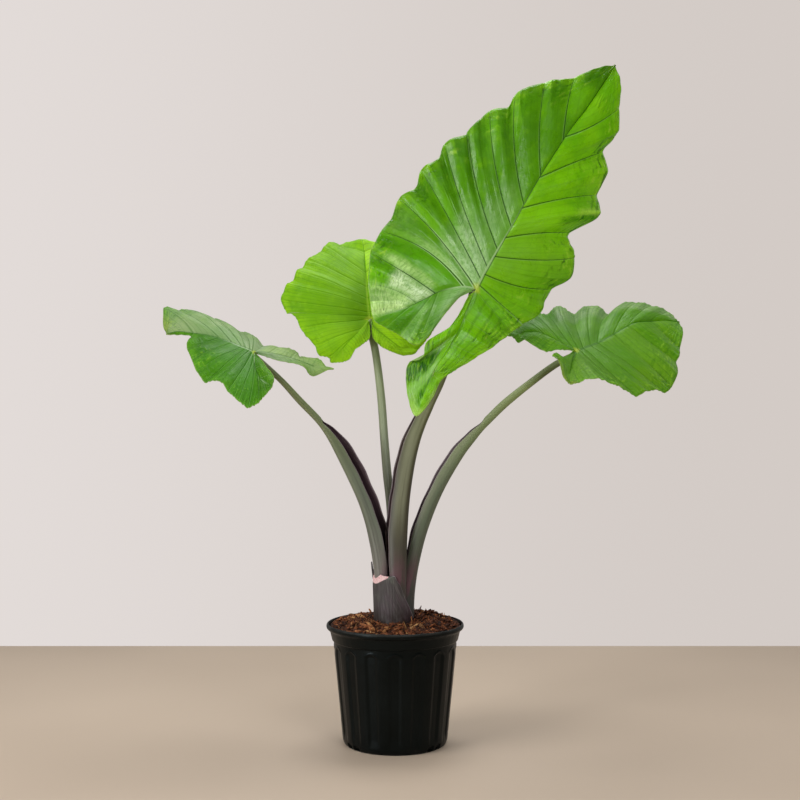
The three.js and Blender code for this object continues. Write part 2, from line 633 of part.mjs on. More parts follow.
// Each stalk is pared where a neighbour already stands, and where its own blade sits on it.
const placed = [];
for (const name of ['front', 'left', 'right', 'back']) {
  let stalk = solid(stalkGeometry(name));
  for (const other of placed) {
    stalk = stalk.subtract(solid(stalkGeometry(other, SEAT_GAP)));
  }
  stalk = stalk.subtract(solid(bladeGeometry(LEAVES[name], BLADE_GAP)));
  const [largest] = stalk.decompose().sort((a, b) => b.volume() - a.volume());
  placed.push(name);
  addPiece(`stalk_${name}`, geometryOf(largest), 0x6d7160, 0.5);
}

let sheath = solid(cutSheathGeometry());
for (const name of placed) {
  sheath = sheath.subtract(solid(stalkGeometry(name, SEAT_GAP)));
}
const [wrap] = sheath.decompose().sort((a, b) => b.volume() - a.volume());
addPiece('cut_sheath', geometryOf(wrap), 0x6b5a62, 0.55);

export default plant;
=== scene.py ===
# %% [markdown]
# # A potted giant taro
# The plant has four arrow-shaped leaves on long stalks, and it stands in a black nursery pot full of
# bark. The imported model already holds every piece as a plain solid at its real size. Each piece is
# made again here with its finer form and its finish, in metres and in the same frame.

import math
import random

import bpy
import numpy as np
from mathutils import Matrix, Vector


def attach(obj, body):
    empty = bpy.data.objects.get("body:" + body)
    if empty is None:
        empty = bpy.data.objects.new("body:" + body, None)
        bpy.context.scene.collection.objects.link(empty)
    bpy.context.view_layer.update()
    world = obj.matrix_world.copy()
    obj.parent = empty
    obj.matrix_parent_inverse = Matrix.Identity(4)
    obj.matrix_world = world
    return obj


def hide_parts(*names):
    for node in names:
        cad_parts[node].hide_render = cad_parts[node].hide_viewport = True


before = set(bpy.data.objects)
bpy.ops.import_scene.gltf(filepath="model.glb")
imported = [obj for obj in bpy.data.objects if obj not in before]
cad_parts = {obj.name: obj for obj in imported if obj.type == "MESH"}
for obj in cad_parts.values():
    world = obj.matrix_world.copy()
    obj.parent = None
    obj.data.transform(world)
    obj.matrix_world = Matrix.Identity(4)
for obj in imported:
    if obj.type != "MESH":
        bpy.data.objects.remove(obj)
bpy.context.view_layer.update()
print("nodes:", ", ".join(sorted(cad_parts)))

# %% [markdown]
# ## Eye and light
# The plant is seen level, from a little over two metres. A long lens keeps the leaves from
# stretching, and the camera isn't tilted, so that the pot stays upright.
# Leaves are waxy, so what they mirror matters as much as what lights them. A soft window on the left
# gives the pleats their dark sides, and a wide light hangs over the plant. A small one stands where
# the front leaf's lower half mirrors it, a narrow one low on the left draws a streak down the pot,
# and a weak one behind picks out the margins. The fill on the right only lights, and isn't mirrored.

# %% The camera
MM = 0.001
EYE_X = 9 * MM
EYE_DISTANCE = 2336 * MM
EYE_HEIGHT = 634 * MM
FOCAL_PX = 1260              # focal length, in pixels of an 800 px image
IMAGE_PX = 800

camera_data = bpy.data.cameras.new("eye")
camera_data.sensor_width = 36
camera_data.lens = FOCAL_PX / IMAGE_PX * camera_data.sensor_width
camera = bpy.data.objects.new("eye", camera_data)
bpy.context.collection.objects.link(camera)
camera.location = (EYE_X, -EYE_DISTANCE, EYE_HEIGHT)
camera.rotation_euler = (math.pi / 2, 0, 0)
bpy.context.scene.camera = camera
bpy.context.scene.view_settings.view_transform = "Standard"
print(f"lens {camera_data.lens:.1f} mm at {EYE_DISTANCE:.2f} m")

# %% The lights


def soft_light(name, place, aim, size, watts, colour=(1, 1, 1)):
    """A rectangle of even light that stands at place and looks at aim, in metres."""
    data = bpy.data.lights.new(name, "AREA")
    data.shape = "RECTANGLE"
    data.size, data.size_y = size
    data.energy = watts
    data.color = colour
    lamp = bpy.data.objects.new(name, data)
    bpy.context.collection.objects.link(lamp)
    lamp.location = place
    lamp.rotation_euler = (Vector(aim) - Vector(place)).to_track_quat("-Z", "Y").to_euler()
    return lamp


soft_light("window_light", (-2.5, -1.3, 2.3), (0, 0, 0.6), (1.4, 1.4), 44, (1, 0.985, 0.96))
soft_light("top_light", (0.1, 0.8, 2.7), (0, 0, 0.7), (1.5, 1.5), 34)
soft_light("sheen_light", (0.6, -1.78, 1.78), (0.12, 0, 0.9), (0.62, 0.5), 10)
soft_light("rim_light", (2.2, 1.2, 1.9), (0, 0, 0.7), (1.0, 1.2), 4)
strip = soft_light("low_strip", (-1.8, -1.7, 0.62), (0, 0, 0.2), (0.5, 0.9), 3.6, (0.96, 0.98, 1))
strip.data.spread = math.radians(75)
fill = soft_light("fill_light", (1.9, -2.4, 1.1), (0.1, 0, 0.7), (1.6, 1.6), 24)
fill.visible_glossy = False
print("lights:", len(bpy.data.lights))

# %% [markdown]
# ## Shader sums
# Every finish here is worked out by nodes. `Wire` holds one output socket, and sums written with it
# add Math nodes, so that `1 - mask` reads as it would on paper.
# `Finish` holds the material. Its one method `add` makes any other node, and `paint` lays a tone
# over the last one, as coats of paint go on. A tone is written as a screen shows it, '#rrggbb'.

# %% Wire


class Wire:
    def __init__(self, finish, socket):
        self.finish = finish
        self.socket = socket

    def math(self, operation, *values):
        return self.finish.add("Math", {"operation": operation}, dict(enumerate(values)))

    def __add__(self, other):
        return self.math("ADD", self, other)

    def __sub__(self, other):
        return self.math("SUBTRACT", self, other)

    def __rsub__(self, other):
        return self.math("SUBTRACT", other, self)

    def __mul__(self, other):
        return self.math("MULTIPLY", self, other)

    def __truediv__(self, other):
        return self.math("DIVIDE", self, other)

    def __rtruediv__(self, other):
        return self.math("DIVIDE", other, self)

    __radd__ = __add__
    __rmul__ = __mul__

    def sine(self):
        return self.math("SINE", self)

    def size(self):
        return self.math("ABSOLUTE", self)

    def step(self, low, high, to_low=0.0, to_high=1.0):
        """Runs smoothly from to_low to to_high while the value goes from low to high."""
        values = {"Value": self, "From Min": low, "From Max": high, "To Min": to_low, "To Max": to_high}
        return self.finish.add("MapRange", {"interpolation_type": "SMOOTHSTEP"}, values)


print("sums ready")

# %% Finish


def linear(tone):
    """A tone '#rrggbb' as the linear colour that shaders take."""
    parts = [int(tone[i:i + 2], 16) / 255 for i in (1, 3, 5)]
    return (*(p / 12.92 if p <= 0.04045 else ((p + 0.055) / 1.055) ** 2.4 for p in parts), 1)


class Finish:
    def __init__(self, name, colour=None, made_in=bpy.data.materials, shader="Principled BSDF"):
        """colour is the first coat, which others are painted over."""
        self.colour = colour
        self.made = made_in.new(name)
        self.made.use_nodes = True
        self.tree = self.made.node_tree
        self.shader = self.tree.nodes[shader]

    def connect(self, node, name, value):
        """Feeds a socket with a wire, a tone, a number or a vector."""
        socket = node.inputs[name]
        if isinstance(value, Wire):
            self.tree.links.new(value.socket, socket)
        else:
            socket.default_value = linear(value) if isinstance(value, str) else value

    def add(self, kind, settings=None, values=None, output=0):
        node = self.tree.nodes.new("ShaderNode" + kind)
        for name, value in (settings or {}).items():
            if name == "stops":
                for i, (place, tone) in enumerate(value):
                    stop = node.color_ramp.elements[i] if i < 2 else node.color_ramp.elements.new(place)
                    stop.position = place
                    stop.color = linear(tone)
            else:
                setattr(node, name, value)
        for name, value in (values or {}).items():
            self.connect(node, name, value)
        return Wire(self, node.outputs[output])

    def attribute(self, name):
        """A number that the mesh holds on its points."""
        return self.add("Attribute", {"attribute_name": name}, output="Fac")

    def place(self):
        return self.add("TexCoord", output="Object")

    def height(self):
        """How high a point stands above the floor, in metres."""
        return self.add("SeparateXYZ", values={"Vector": self.place()}, output="Z")

    def noise(self, scale, detail=3.0, roughness=0.55, vector=None):
        """Soft noise with about this many waves a metre, from 0 to 1."""
        vector = vector or self.place()
        values = {"Vector": vector, "Scale": scale, "Detail": detail, "Roughness": roughness}
        return self.add("TexNoise", values=values, output="Fac")

    def drawn_out(self, x, y, z=0.0, detail=3.0):
        """Noise over three numbers, so that it can be drawn out along a piece."""
        return self.noise(1.0, detail, vector=self.add("CombineXYZ", values={"X": x, "Y": y, "Z": z}))

    def colour_mix(self, share, first, second):
        return self.add("Mix", {"data_type": "RGBA"}, {0: share, 6: first, 7: second}, output=2)

    def paint(self, tone, share):
        """Lays a tone over the colour so far, where share is above 0."""
        self.colour = self.colour_mix(share, self.colour, tone)

    def use(self, rough, relief=None, depth=0.0, **others):
        """Feeds the shader, and gives back the material. A relief of 1 stands out by depth, in metres."""
        sockets = {"Base Color": self.colour, "Roughness": rough, **others}
        if relief is not None:
            values = {"Height": relief, "Distance": depth, "Strength": 1.0}
            sockets["Normal"] = self.add("Bump", values=values)
        for name, value in sockets.items():
            self.connect(self.shader, name.replace("_", " "), value)
        return self.made


print("finishes ready")

# %% [markdown]
# ## The room
# The eye sees a pale wall that is a little brighter on the left. What the room throws on the plant
# is softer: bright from the wall behind, dim from the side the plant is seen from. A waxy green leaf
# keeps its depth of colour only while the room in front of it is dim.

# %% Room tone
WALL_TONES = "#e3dcd9", "#d3cbc6"        # on the left and on the right
ROOM_GLOW = (0.05, 0.049, 0.047, 1), (0.28, 0.275, 0.27, 1)       # from in front and from behind
room = Finish("pale_room", None, bpy.data.worlds, "Background")
bpy.context.scene.world = room.made
direction = {"Vector": room.add("TexCoord", output="Generated")}
rightward, backward = (room.add("SeparateXYZ", values=direction, output=axis) for axis in "XY")
wall = room.colour_mix(rightward.step(-0.4, 0.3), *WALL_TONES)
cast = room.colour_mix(backward.step(-0.3, 0.7), *ROOM_GLOW)
seen = room.add("LightPath", output="Is Camera Ray")
room.connect(room.shader, "Color", room.colour_mix(seen, cast, wall))
print("wall tones:", *WALL_TONES)

# %% [markdown]
# ## Mesh helpers
# Grown shapes are easiest to give as rules: a point for each pair of numbers on the surface. numpy
# works a whole grid of them out at once, and one helper turns points and faces into a piece, with a
# number on every point for the shader to read, such as how far the nearest vein is.

# %% Making a piece
WELD = 0.02 * MM             # points nearer than this are made one


def drawn(x, z, depth):
    """The place of a point of the front elevation, in mm, that lies depth behind the pot's axis."""
    grow = 1 + depth * MM / EYE_DISTANCE
    return (EYE_X + (x * MM - EYE_X) * grow, depth * MM, EYE_HEIGHT + (z * MM - EYE_HEIGHT) * grow)


def smooth(low, high, value):
    t = np.clip((np.asarray(value, float) - low) / (high - low), 0, 1)
    return t * t * (3 - 2 * t)


def mix(a, b, t):
    return a + (b - a) * t


def unit(v):
    return v / np.maximum(np.linalg.norm(v, axis=-1, keepdims=True), 1e-12)


def curve_through(places, points):
    """A smooth curve that meets each point at its place, as a function of any places."""
    places = np.asarray(places, float)
    points = np.asarray(points, float)

    def at(where):
        where = np.asarray(where, float)
        i = np.clip(np.searchsorted(places, where) - 1, 0, len(places) - 2)
        low = np.maximum(i - 1, 0)
        high = np.minimum(i + 2, len(places) - 1)
        span = places[i + 1] - places[i]
        t = np.clip((where - places[i]) / span, 0, 1)[..., None]
        slope_in = (points[i + 1] - points[low]) * (span / (places[i + 1] - places[low]))[..., None]
        slope_out = (points[high] - points[i]) * (span / (places[high] - places[i]))[..., None]
        start = (2 * t**3 - 3 * t**2 + 1) * points[i] + (t**3 - 2 * t**2 + t) * slope_in
        return start + (3 * t**2 - 2 * t**3) * points[i + 1] + (t**3 - t**2) * slope_out

    return at


def piece(name, points, faces, materials, replaces=(), slots=None, slot=None, **numbers):
    """A smooth-shaded mesh that rides on the plant. slots gives each face its material."""
    mesh = bpy.data.meshes.new(name)
    mesh.from_pydata(np.asarray(points, float).tolist(), [], faces)
    for material in materials:
        mesh.materials.append(material)
    mesh.polygons.foreach_set("use_smooth", [True] * len(mesh.polygons))
    if slots is not None:
        mesh.polygons.foreach_set("material_index", slots)
    for label, values in numbers.items():
        held = mesh.attributes.new(label, "FLOAT", "POINT")
        held.data.foreach_set("value", np.asarray(values, np.float32).ravel())
    mesh.update()
    made = bpy.data.objects.new(name, mesh)
    bpy.context.collection.objects.link(made)
    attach(made, "root")
    if replaces:
        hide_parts(*replaces)
    print(f"{name}: {len(mesh.vertices)} points, {len(mesh.polygons)} faces")
    return made


def grid_faces(rows, columns, closed=False, flip=False):
    """The quads of a grid of points, row by row; closed joins each row's end to its start."""
    faces = []
    for r in range(rows - 1):
        for c in range(columns if closed else columns - 1):
            d = (c + 1) % columns
            quad = (r * columns + c, r * columns + d, (r + 1) * columns + d, (r + 1) * columns + c)
            faces.append(quad[::-1] if flip else quad)
    return faces


def tube_faces(rows, columns):
    """A tube whose rings are the rows of a grid, with a flat face on each end."""
    last = (rows - 1) * columns
    ends = [tuple(range(columns))[::-1], tuple(range(last, last + columns))]
    return grid_faces(rows, columns, closed=True) + ends


def turned_faces(rows, columns):
    """An outline turned round an axis, one row for each turn, with a flat face on each end."""
    last = (rows - 1) * columns
    joined = [(last + c, c, c + 1, last + c + 1) for c in range(columns - 1)]
    ends = [tuple(range(0, last + 1, columns))[::-1], tuple(range(columns - 1, last + columns, columns))]
    return grid_faces(rows, columns) + joined + ends


def welded(points, faces, numbers):
    """The same mesh with the points that fall together made one, and the flat faces left out."""
    _, kept, place = np.unique(np.round(points / WELD).astype(int), axis=0,
                               return_index=True, return_inverse=True)
    place = place.ravel()
    left = []
    for face in faces:
        corners = list(dict.fromkeys(int(place[c]) for c in face))
        if len(corners) > 2:
            left.append(corners)
    return points[kept], left, {label: values[kept] for label, values in numbers.items()}


print("mesh helpers ready")

# %% [markdown]
# ## The leaf blades
# A taro leaf is an arrow head. A midrib runs from the stalk to the tip, a rib runs back into each
# hind lobe, and side veins leave these ribs and sweep to the waved margin. Between two veins the
# blade rises in a pleat.
# It could be sculpted, or cut from a flat outline and bent. Here each half is a fan of straight
# spokes from rib to margin, with a vein on every whole number, because then the margin, the veins
# and the pleats all follow the same numbers.

# %% Where ribs and margins run
# Veins 1 to 8 leave the midrib, 9 to 11 the lobe's rib, 11 to 13 fan from its end, and 14 to 16 are
# on the side of the notch. On the front leaf's left half the fan starts at 12. A margin row is
# (vein, x, z, depth), in mm on the front elevation.
JUNCTION = 8
TURN_VEIN = 13               # where the margin turns back into the notch
LAST_VEIN = 16
LEVEL_VEIN = 6               # the vein that says how a half is tilted
# How far up the midrib each vein leaves it: 1 is the tip and 0 the stalk.
MIDRIB_PLACES = (1, 0.69, 0.49, 0.37, 0.26, 0.17, 0.085, 0.035, 0)
EVEN_PLACES = {"left": MIDRIB_PLACES, "right": MIDRIB_PLACES}
FRONT_PLACES = {"left": (1, 0.69, 0.58, 0.498, 0.43, 0.304, 0.167, 0.072, 0),
                "right": (1, 0.7, 0.572, 0.487, 0.379, 0.257, 0.113, 0.035, 0)}
# How far out along the lobe's rib the veins from 8 to 16 leave it.
LOBE_VEINS = range(JUNCTION, LAST_VEIN + 1)
LOBE_PLACES = (0, 0.33, 0.66, 1, 1, 1, 0.6, 0.28, 0.03)
BOWS = ((0, 9, 12.5), (1, 1, 0.3))      # veins, and the share of the leaf's arch that each keeps

LEAVES = {
    "front": {
        "arch": 0.09, "camber": 0.03, "pleat": 0.15, "columns": 42, "places": FRONT_PLACES,
        "midrib": ((408, 1255, 180), (356, 1177, 140), (320, 1129, 116), (267, 1046, 80),
                   (215, 955, 46), (187, 908, 30), (168, 875, 20), (150, 840, 10)),
        "left": {
            "slant": 0.3, "lobe": (0, 0.24, 0.58, 0.88, 1, 1, 0.66, 0.55, 0.03),
            "bows": ((0, 3, 5, 6, 7, 8, 9, 10, 11, 12), (1, 1, 0.8, 0.5, 0, -0.35, -0.9, 0, -1, 0)),
            "rib": ((126, 844, 6), (85, 836, -2), (55, 821, -10), (24, 806, -17)),
            "margin": (
                (0, 408, 1255, 180), (0.5, 378, 1248, 169), (1, 332, 1231, 151), (2, 278, 1222, 137),
                (2.5, 246, 1212, 128), (3, 222, 1199, 120), (3.5, 207, 1174, 109), (4, 176, 1170, 104),
                (4.5, 157, 1153, 97), (5, 135, 1133, 88), (5.5, 128, 1123, 84), (6, 92, 1109, 78),
                (6.5, 79, 1079, 66), (7, 48, 1060, 60), (7.5, 37, 1025, 47), (8, 7, 1007, 42),
                (8.5, -8, 968, 29), (9, -26, 947, 23), (9.7, -40, 920, 15), (10, -46, 908, 11),
                (10.5, -49, 880, 2), (11, -50, 848, -8), (12, -41, 786, -26), (13, -18, 768, -23),
                (14, 9, 753, -18), (15, 42, 736, -23), (15.5, 76, 771, -16), (15.8, 113, 819, -1),
                (16, 139, 834, 7)),
        },
        "right": {
            "bows": ((0, 1, 2, 3, 4, 5, 6, 7, 9, 13),
                     (1, 1, -0.3, -0.4, -0.35, 0.45, 0.75, 0.1, 0.4, 0.3)),
            "rib": ((133, 801, 1), (118, 764, -8), (96, 727, -19), (70, 686, -31)),
            "margin": (
                (0, 408, 1255, 180), (0.5, 413, 1220, 176), (1, 415, 1175, 166), (1.3, 411, 1138, 167),
                (1.6, 400, 1116, 166), (2, 385, 1094, 157), (2.5, 389, 1057, 145), (3, 374, 1014, 146),
                (3.4, 376, 983, 130), (3.7, 367, 968, 132), (4, 324, 944, 121), (4.3, 319, 929, 114),
                (5, 332, 897, 111), (5.5, 319, 858, 114), (6, 291, 840, 104), (6.35, 274, 818, 87),
                (6.7, 263, 792, 77), (7, 237, 775, 42), (8, 215, 759, 30), (9, 194, 743, 18),
                (10, 154, 716, -2), (11, 113, 690, -17), (12, 85, 669, -28), (12.5, 65, 634, -30),
                (13, 37, 604, -38), (13.5, 18, 656, -22), (14, 24, 701, -17), (14.4, 48, 712, -28),
                (14.7, 57, 742, -25), (15, 98, 766, -13), (16, 137, 829, 5)),
        },
    },
    "back": {
        "arch": 0.05, "camber": 0.05, "pleat": 0.1, "columns": 34, "places": EVEN_PLACES,
        "midrib": ((-65, 920, 330), (-61, 931, 245), (-58, 912, 215), (-56, 888, 185),
                   (-54, 856, 152), (-52, 827, 130), (-50, 805, 118), (-48, 784, 110)),
        "left": {
            "rib": ((-58, 771, 100), (-71, 758, 91), (-84, 745, 84), (-97, 730, 80)),
            "margin": (
                (0, -65, 920, 330), (0.5, -84, 923, 318), (1, -106, 920, 290), (1.5, -117, 923, 255),
                (2, -130, 920, 225), (2.5, -141, 903, 212), (3, -163, 894, 195), (3.5, -171, 877, 182),
                (4, -182, 875, 168), (4.5, -189, 853, 158), (5, -201, 849, 148), (5.5, -206, 834, 142),
                (6, -212, 819, 134), (6.6, -202, 795, 128), (7, -195, 795, 124), (7.5, -184, 784, 118),
                (8, -176, 767, 112), (8.5, -165, 749, 104), (9, -149, 734, 98), (9.5, -143, 716, 92),
                (10, -124, 712, 88), (11, -119, 703, 84), (12, -100, 704, 74), (13, -84, 710, 70),
                (13.5, -74, 727, 72), (14, -65, 734, 74), (15, -47, 750, 82), (16, -48, 779, 104)),
        },
        "right": {
            "rib": ((-39, 771, 100), (-23, 756, 91), (-6, 743, 84), (9, 732, 80)),
            "margin": (
                (0, -65, 920, 330), (0.5, -43, 923, 318), (1, -19, 920, 290), (2, 9, 916, 240),
                (3, 42, 890, 200), (4, 61, 871, 172), (5, 76, 845, 150), (6, 85, 819, 136),
                (7, 83, 793, 126), (8, 76, 771, 114), (9, 65, 753, 104), (10, 53, 738, 96),
                (11, 44, 729, 90), (12, 35, 719, 78), (12.5, 16, 716, 74), (13, 0, 721, 72),
                (14, -24, 732, 74), (15, -41, 750, 82), (16, -44, 779, 104)),
        },
    },
    "left": {
        "arch": 0.05, "camber": 0.05, "pleat": 0.1, "columns": 34, "places": EVEN_PLACES,
        "midrib": ((-423, 756, 100), (-403, 760, 90), (-380, 758, 72), (-343, 753, 42),
                   (-315, 745, 20), (-288, 734, 0), (-275, 729, -10), (-262, 723, -20)),
        "left": {
            "rib": ((-262, 712, -42), (-260, 697, -66), (-256, 684, -88), (-251, 673, -106)),
            "margin": (
                (0, -423, 756, 100), (0.5, -406, 755, 84), (1, -380, 753, 52), (1.5, -384, 742, 34),
                (2, -386, 729, 14), (3, -378, 710, -22), (4, -369, 688, -54), (5, -353, 666, -84),
                (6, -334, 669, -100), (6.5, -319, 662, -110), (7, -310, 649, -118), (8, -291, 632, -130),
                (9, -273, 619, -140), (10, -254, 628, -146), (11, -239, 645, -146), (12, -230, 656, -142),
                (12.5, -225, 667, -134), (13, -225, 678, -122), (14, -238, 695, -92), (15, -249, 710, -54),
                (16, -258, 719, -26)),
        },
        "right": {
            "rib": ((-243, 723, 0), (-213, 717, 22), (-182, 708, 38), (-152, 697, 45)),
            "margin": (
                (0, -423, 756, 100), (0.3, -430, 769, 106), (0.7, -430, 788, 120), (1, -429, 805, 134),
                (2, -408, 799, 146), (3, -384, 801, 152), (3.5, -369, 795, 152), (4, -351, 786, 148),
                (5, -321, 780, 146), (5.5, -308, 767, 142), (6, -289, 760, 138), (7, -271, 756, 132),
                (7.5, -256, 742, 126), (8, -243, 730, 120), (9, -212, 729, 112), (10, -182, 723, 98),
                (10.5, -175, 712, 88), (11, -145, 712, 72), (12, -126, 695, 50), (12.4, -113, 691, 42),
                (12.7, -126, 688, 38), (13, -152, 678, 28), (14, -171, 697, 10), (14.5, -191, 701, 4),
                (15, -219, 708, -6), (16, -254, 719, -17)),
        },
    },
    "right": {
        "arch": 0.05, "camber": 0.05, "pleat": 0.1, "columns": 36, "places": EVEN_PLACES,
        "midrib": ((526, 779, 172), (500, 780, 158), (478, 780, 142), (443, 777, 110),
                   (421, 766, 90), (380, 743, 52), (358, 734, 36), (335, 725, 20)),
        "left": {
            "rib": ((320, 734, 34), (293, 749, 56), (265, 760, 74), (239, 760, 84)),
            "margin": (
                (0, 526, 779, 172), (0.5, 519, 784, 182), (1, 506, 797, 188), (2, 476, 808, 198),
                (3, 448, 814, 204), (3.5, 422, 810, 204), (4, 396, 793, 200), (4.5, 380, 803, 198),
                (5, 361, 808, 194), (5.5, 346, 803, 188), (6, 332, 793, 182), (6.5, 317, 799, 178),
                (7, 302, 808, 174), (8, 282, 793, 168), (9, 259, 793, 156), (10, 233, 786, 138),
                (11, 213, 773, 116), (12, 207, 755, 94), (12.5, 219, 749, 84), (13, 228, 740, 76),
                (13.5, 239, 745, 70), (14, 252, 738, 60), (14.5, 276, 723, 46), (15, 298, 727, 36),
                (16, 330, 727, 22)),
        },
        "right": {
            "rib": ((332, 714, -4), (328, 703, -30), (326, 693, -52), (324, 684, -70)),
            "margin": (
                (0, 526, 779, 172), (0.4, 532, 764, 150), (0.7, 532, 749, 126), (1, 528, 730, 100),
                (1.6, 526, 712, 76), (2, 521, 703, 62), (2.4, 523, 682, 38), (3, 513, 658, 8),
                (4, 500, 647, -14), (5, 474, 651, -44), (6, 447, 640, -68), (7, 424, 653, -84),
                (8, 400, 664, -94), (9, 363, 673, -102), (10, 341, 666, -102), (11, 324, 664, -98),
                (12, 311, 678, -86), (12.6, 306, 697, -66), (13, 300, 712, -48), (13.4, 291, 716, -38),
                (13.8, 300, 721, -28), (14.3, 311, 714, -16), (15, 319, 717, -4), (16, 330, 725, 14)),
        },
    },
}
print("leaves:", ", ".join(LEAVES))

# %% Spokes of a half blade
ROWS_PER_PLEAT = 18
NEAR_RIB = (0, 0.006, 0.014, 0.026, 0.044, 0.068)      # places on a spoke that stand close by the rib


def pleat_rows(first, last):
    """Rows for the pleats from vein first to vein last, set close near the veins."""
    u = np.arange(ROWS_PER_PLEAT) / ROWS_PER_PLEAT
    offsets = u - 0.6 * np.sin(2 * np.pi * u) / (2 * np.pi)
    return np.concatenate([vein + offsets for vein in range(first, last)] + [[last]])


def spoke_rows(leaf, side):
    """Every row's vein number. Both halves meet the midrib at the same places, and the two sides of a
    lobe meet its rib at the same places, so that no gap opens between them."""
    own = pleat_rows(0, JUNCTION)
    both = np.concatenate([np.interp(own, range(JUNCTION + 1), leaf["places"][k]) for k in leaf["places"]])
    shared = np.unique(np.round(both, 4))[::-1]
    forward = np.interp(-shared, -np.array(leaf["places"][side]), range(JUNCTION + 1))
    places = leaf[side].get("lobe", LOBE_PLACES)
    tip = places.index(1)
    turn = TURN_VEIN - JUNCTION
    ends = (JUNCTION, JUNCTION + tip), (TURN_VEIN, LAST_VEIN)
    rib = np.concatenate([np.interp(pleat_rows(*veins), LOBE_VEINS, places) for veins in ends])
    rib = np.unique(np.round(rib, 3))
    outer = np.interp(rib, places[:tip + 1], LOBE_VEINS[:tip + 1])
    inner = np.interp(rib[rib >= places[-1]], places[:turn - 1:-1], LOBE_VEINS[:turn - 1:-1])[::-1]
    return np.concatenate([forward[:-1], outer, pleat_rows(JUNCTION + tip, TURN_VEIN)[1:-1], inner])


def spoke_places(leaf):
    """How far out the points of a spoke are, from 0 on the rib to 1 on the margin."""
    even = np.linspace(NEAR_RIB[-1], 1, leaf["columns"] - len(NEAR_RIB) + 1)
    return np.concatenate([NEAR_RIB, even[1:]])


print("rows on a half:", {name: len(spoke_rows(leaf, "left")) for name, leaf in LEAVES.items()})

# %% The fan of spokes


def midrib_of(leaf):
    """The midrib's curve, with the stalk at 0 and the tip at 1, and the way to the tip."""
    points = np.array([drawn(*p) for p in leaf["midrib"]])
    return curve_through(np.linspace(0, 1, len(points)), points[::-1]), unit(points[0] - points[-1])


def way_up(leaf, side):
    """The way up from one half of a blade."""
    midrib, forward = midrib_of(leaf)
    row = next(row for row in leaf[side]["margin"] if row[0] == LEVEL_VEIN)
    across = np.array(drawn(*row[1:])) - midrib(MIDRIB_PLACES[LEVEL_VEIN])
    return unit(np.cross(forward, across)) * (1 if side == "left" else -1)


def spoke_fan(leaf, side, s, t):
    """The half before it is pleated: its points, the spokes' lengths, and their places on the rib."""
    half = leaf[side]
    midrib, forward = midrib_of(leaf)
    rib_points = np.array([midrib(0), *(drawn(*p) for p in half["rib"])])
    rib = curve_through(np.linspace(0, 1, len(rib_points)), rib_points)
    margin = curve_through([row[0] for row in half["margin"]], [drawn(*row[1:]) for row in half["margin"]])
    on_midrib = np.interp(s, range(JUNCTION + 1), leaf["places"][side])
    on_rib = np.interp(s, LOBE_VEINS, half.get("lobe", LOBE_PLACES))
    root = np.where((s <= JUNCTION)[:, None], midrib(on_midrib), rib(on_rib))
    reach = margin(s) - root
    length = np.linalg.norm(reach, axis=1)[:, None]
    along = forward - reach * (reach @ forward / np.maximum(length[:, 0]**2, 1e-9))[:, None]
    arch = leaf["arch"] * np.interp(s, *half.get("bows", BOWS))[:, None] * length * (4 * t * (1 - t))
    flat = root[:, None] + reach[:, None] * t[None, :, None] - along[:, None] * arch[..., None]
    return flat, length, np.where(s <= JUNCTION, on_midrib, -on_rib)[:, None]


def pleat_widths(leaf, side, s, flat):
    """How far the surface moves for one vein, at every point."""
    spoke = unit(np.gradient(flat, axis=1))
    sweep = np.gradient(flat, axis=0) / np.maximum(np.gradient(s), 1e-6)[:, None, None]
    width = np.linalg.norm(sweep - spoke * (sweep * spoke).sum(2, keepdims=True), axis=2)
    tip = JUNCTION + leaf[side].get("lobe", LOBE_PLACES).index(1)
    width[np.isclose(s, tip) | np.isclose(s, TURN_VEIN)] = width[np.searchsorted(s, (tip + TURN_VEIN) / 2)]
    return width


print("ways up:", {name: way_up(leaf, "left").round(2).tolist() for name, leaf in LEAVES.items()})

# %% [markdown]
# A pleat isn't a plain wave. On the front leaf it climbs slowly and falls steeply, and towards the
# margin small waves and short folds run over it, as the blade has more edge there than room. All
# of it is one lift off the fan of spokes, worked out from the vein number and the place on the spoke.

# %% One half of a blade
RIPPLE_REACH = 60 * MM       # a half narrower than this has flatter pleats
PLEAT_MOST = 60 * MM         # a pleat wider than this rises no further
MARGIN_WAVE = 1.1 * MM       # small waves between the pleats, at the margin
CRINKLE = 0.9 * MM           # short folds that run in from the margin
DRIFT = 1.5 * MM             # slow unevenness of the whole blade


def crests(half, s, t):
    """How high each point stands on its pleat, from 0 to 1, and how far it's on the climbing flank."""
    peak = 0.5 + half.get("slant", 0) * smooth(0.35, 1, t)[None, :] * smooth(10, 9, s)[:, None]
    part = (s % 1)[:, None]
    rise = np.where(part < peak, part / peak, (1 - part) / (1 - peak))
    crest = 0.5 * np.sin(0.5 * np.pi * rise)**0.75 + 0.5 * (1 - (1 - rise)**1.3)
    crest = mix(crest, 0.6 * np.sin(np.pi * s[:, None])**2, smooth(10, 11, s)[:, None])
    return crest, np.where(part < peak, smooth(0.02, 0.4, rise), 0) * smooth(0.25, 0.85, t)


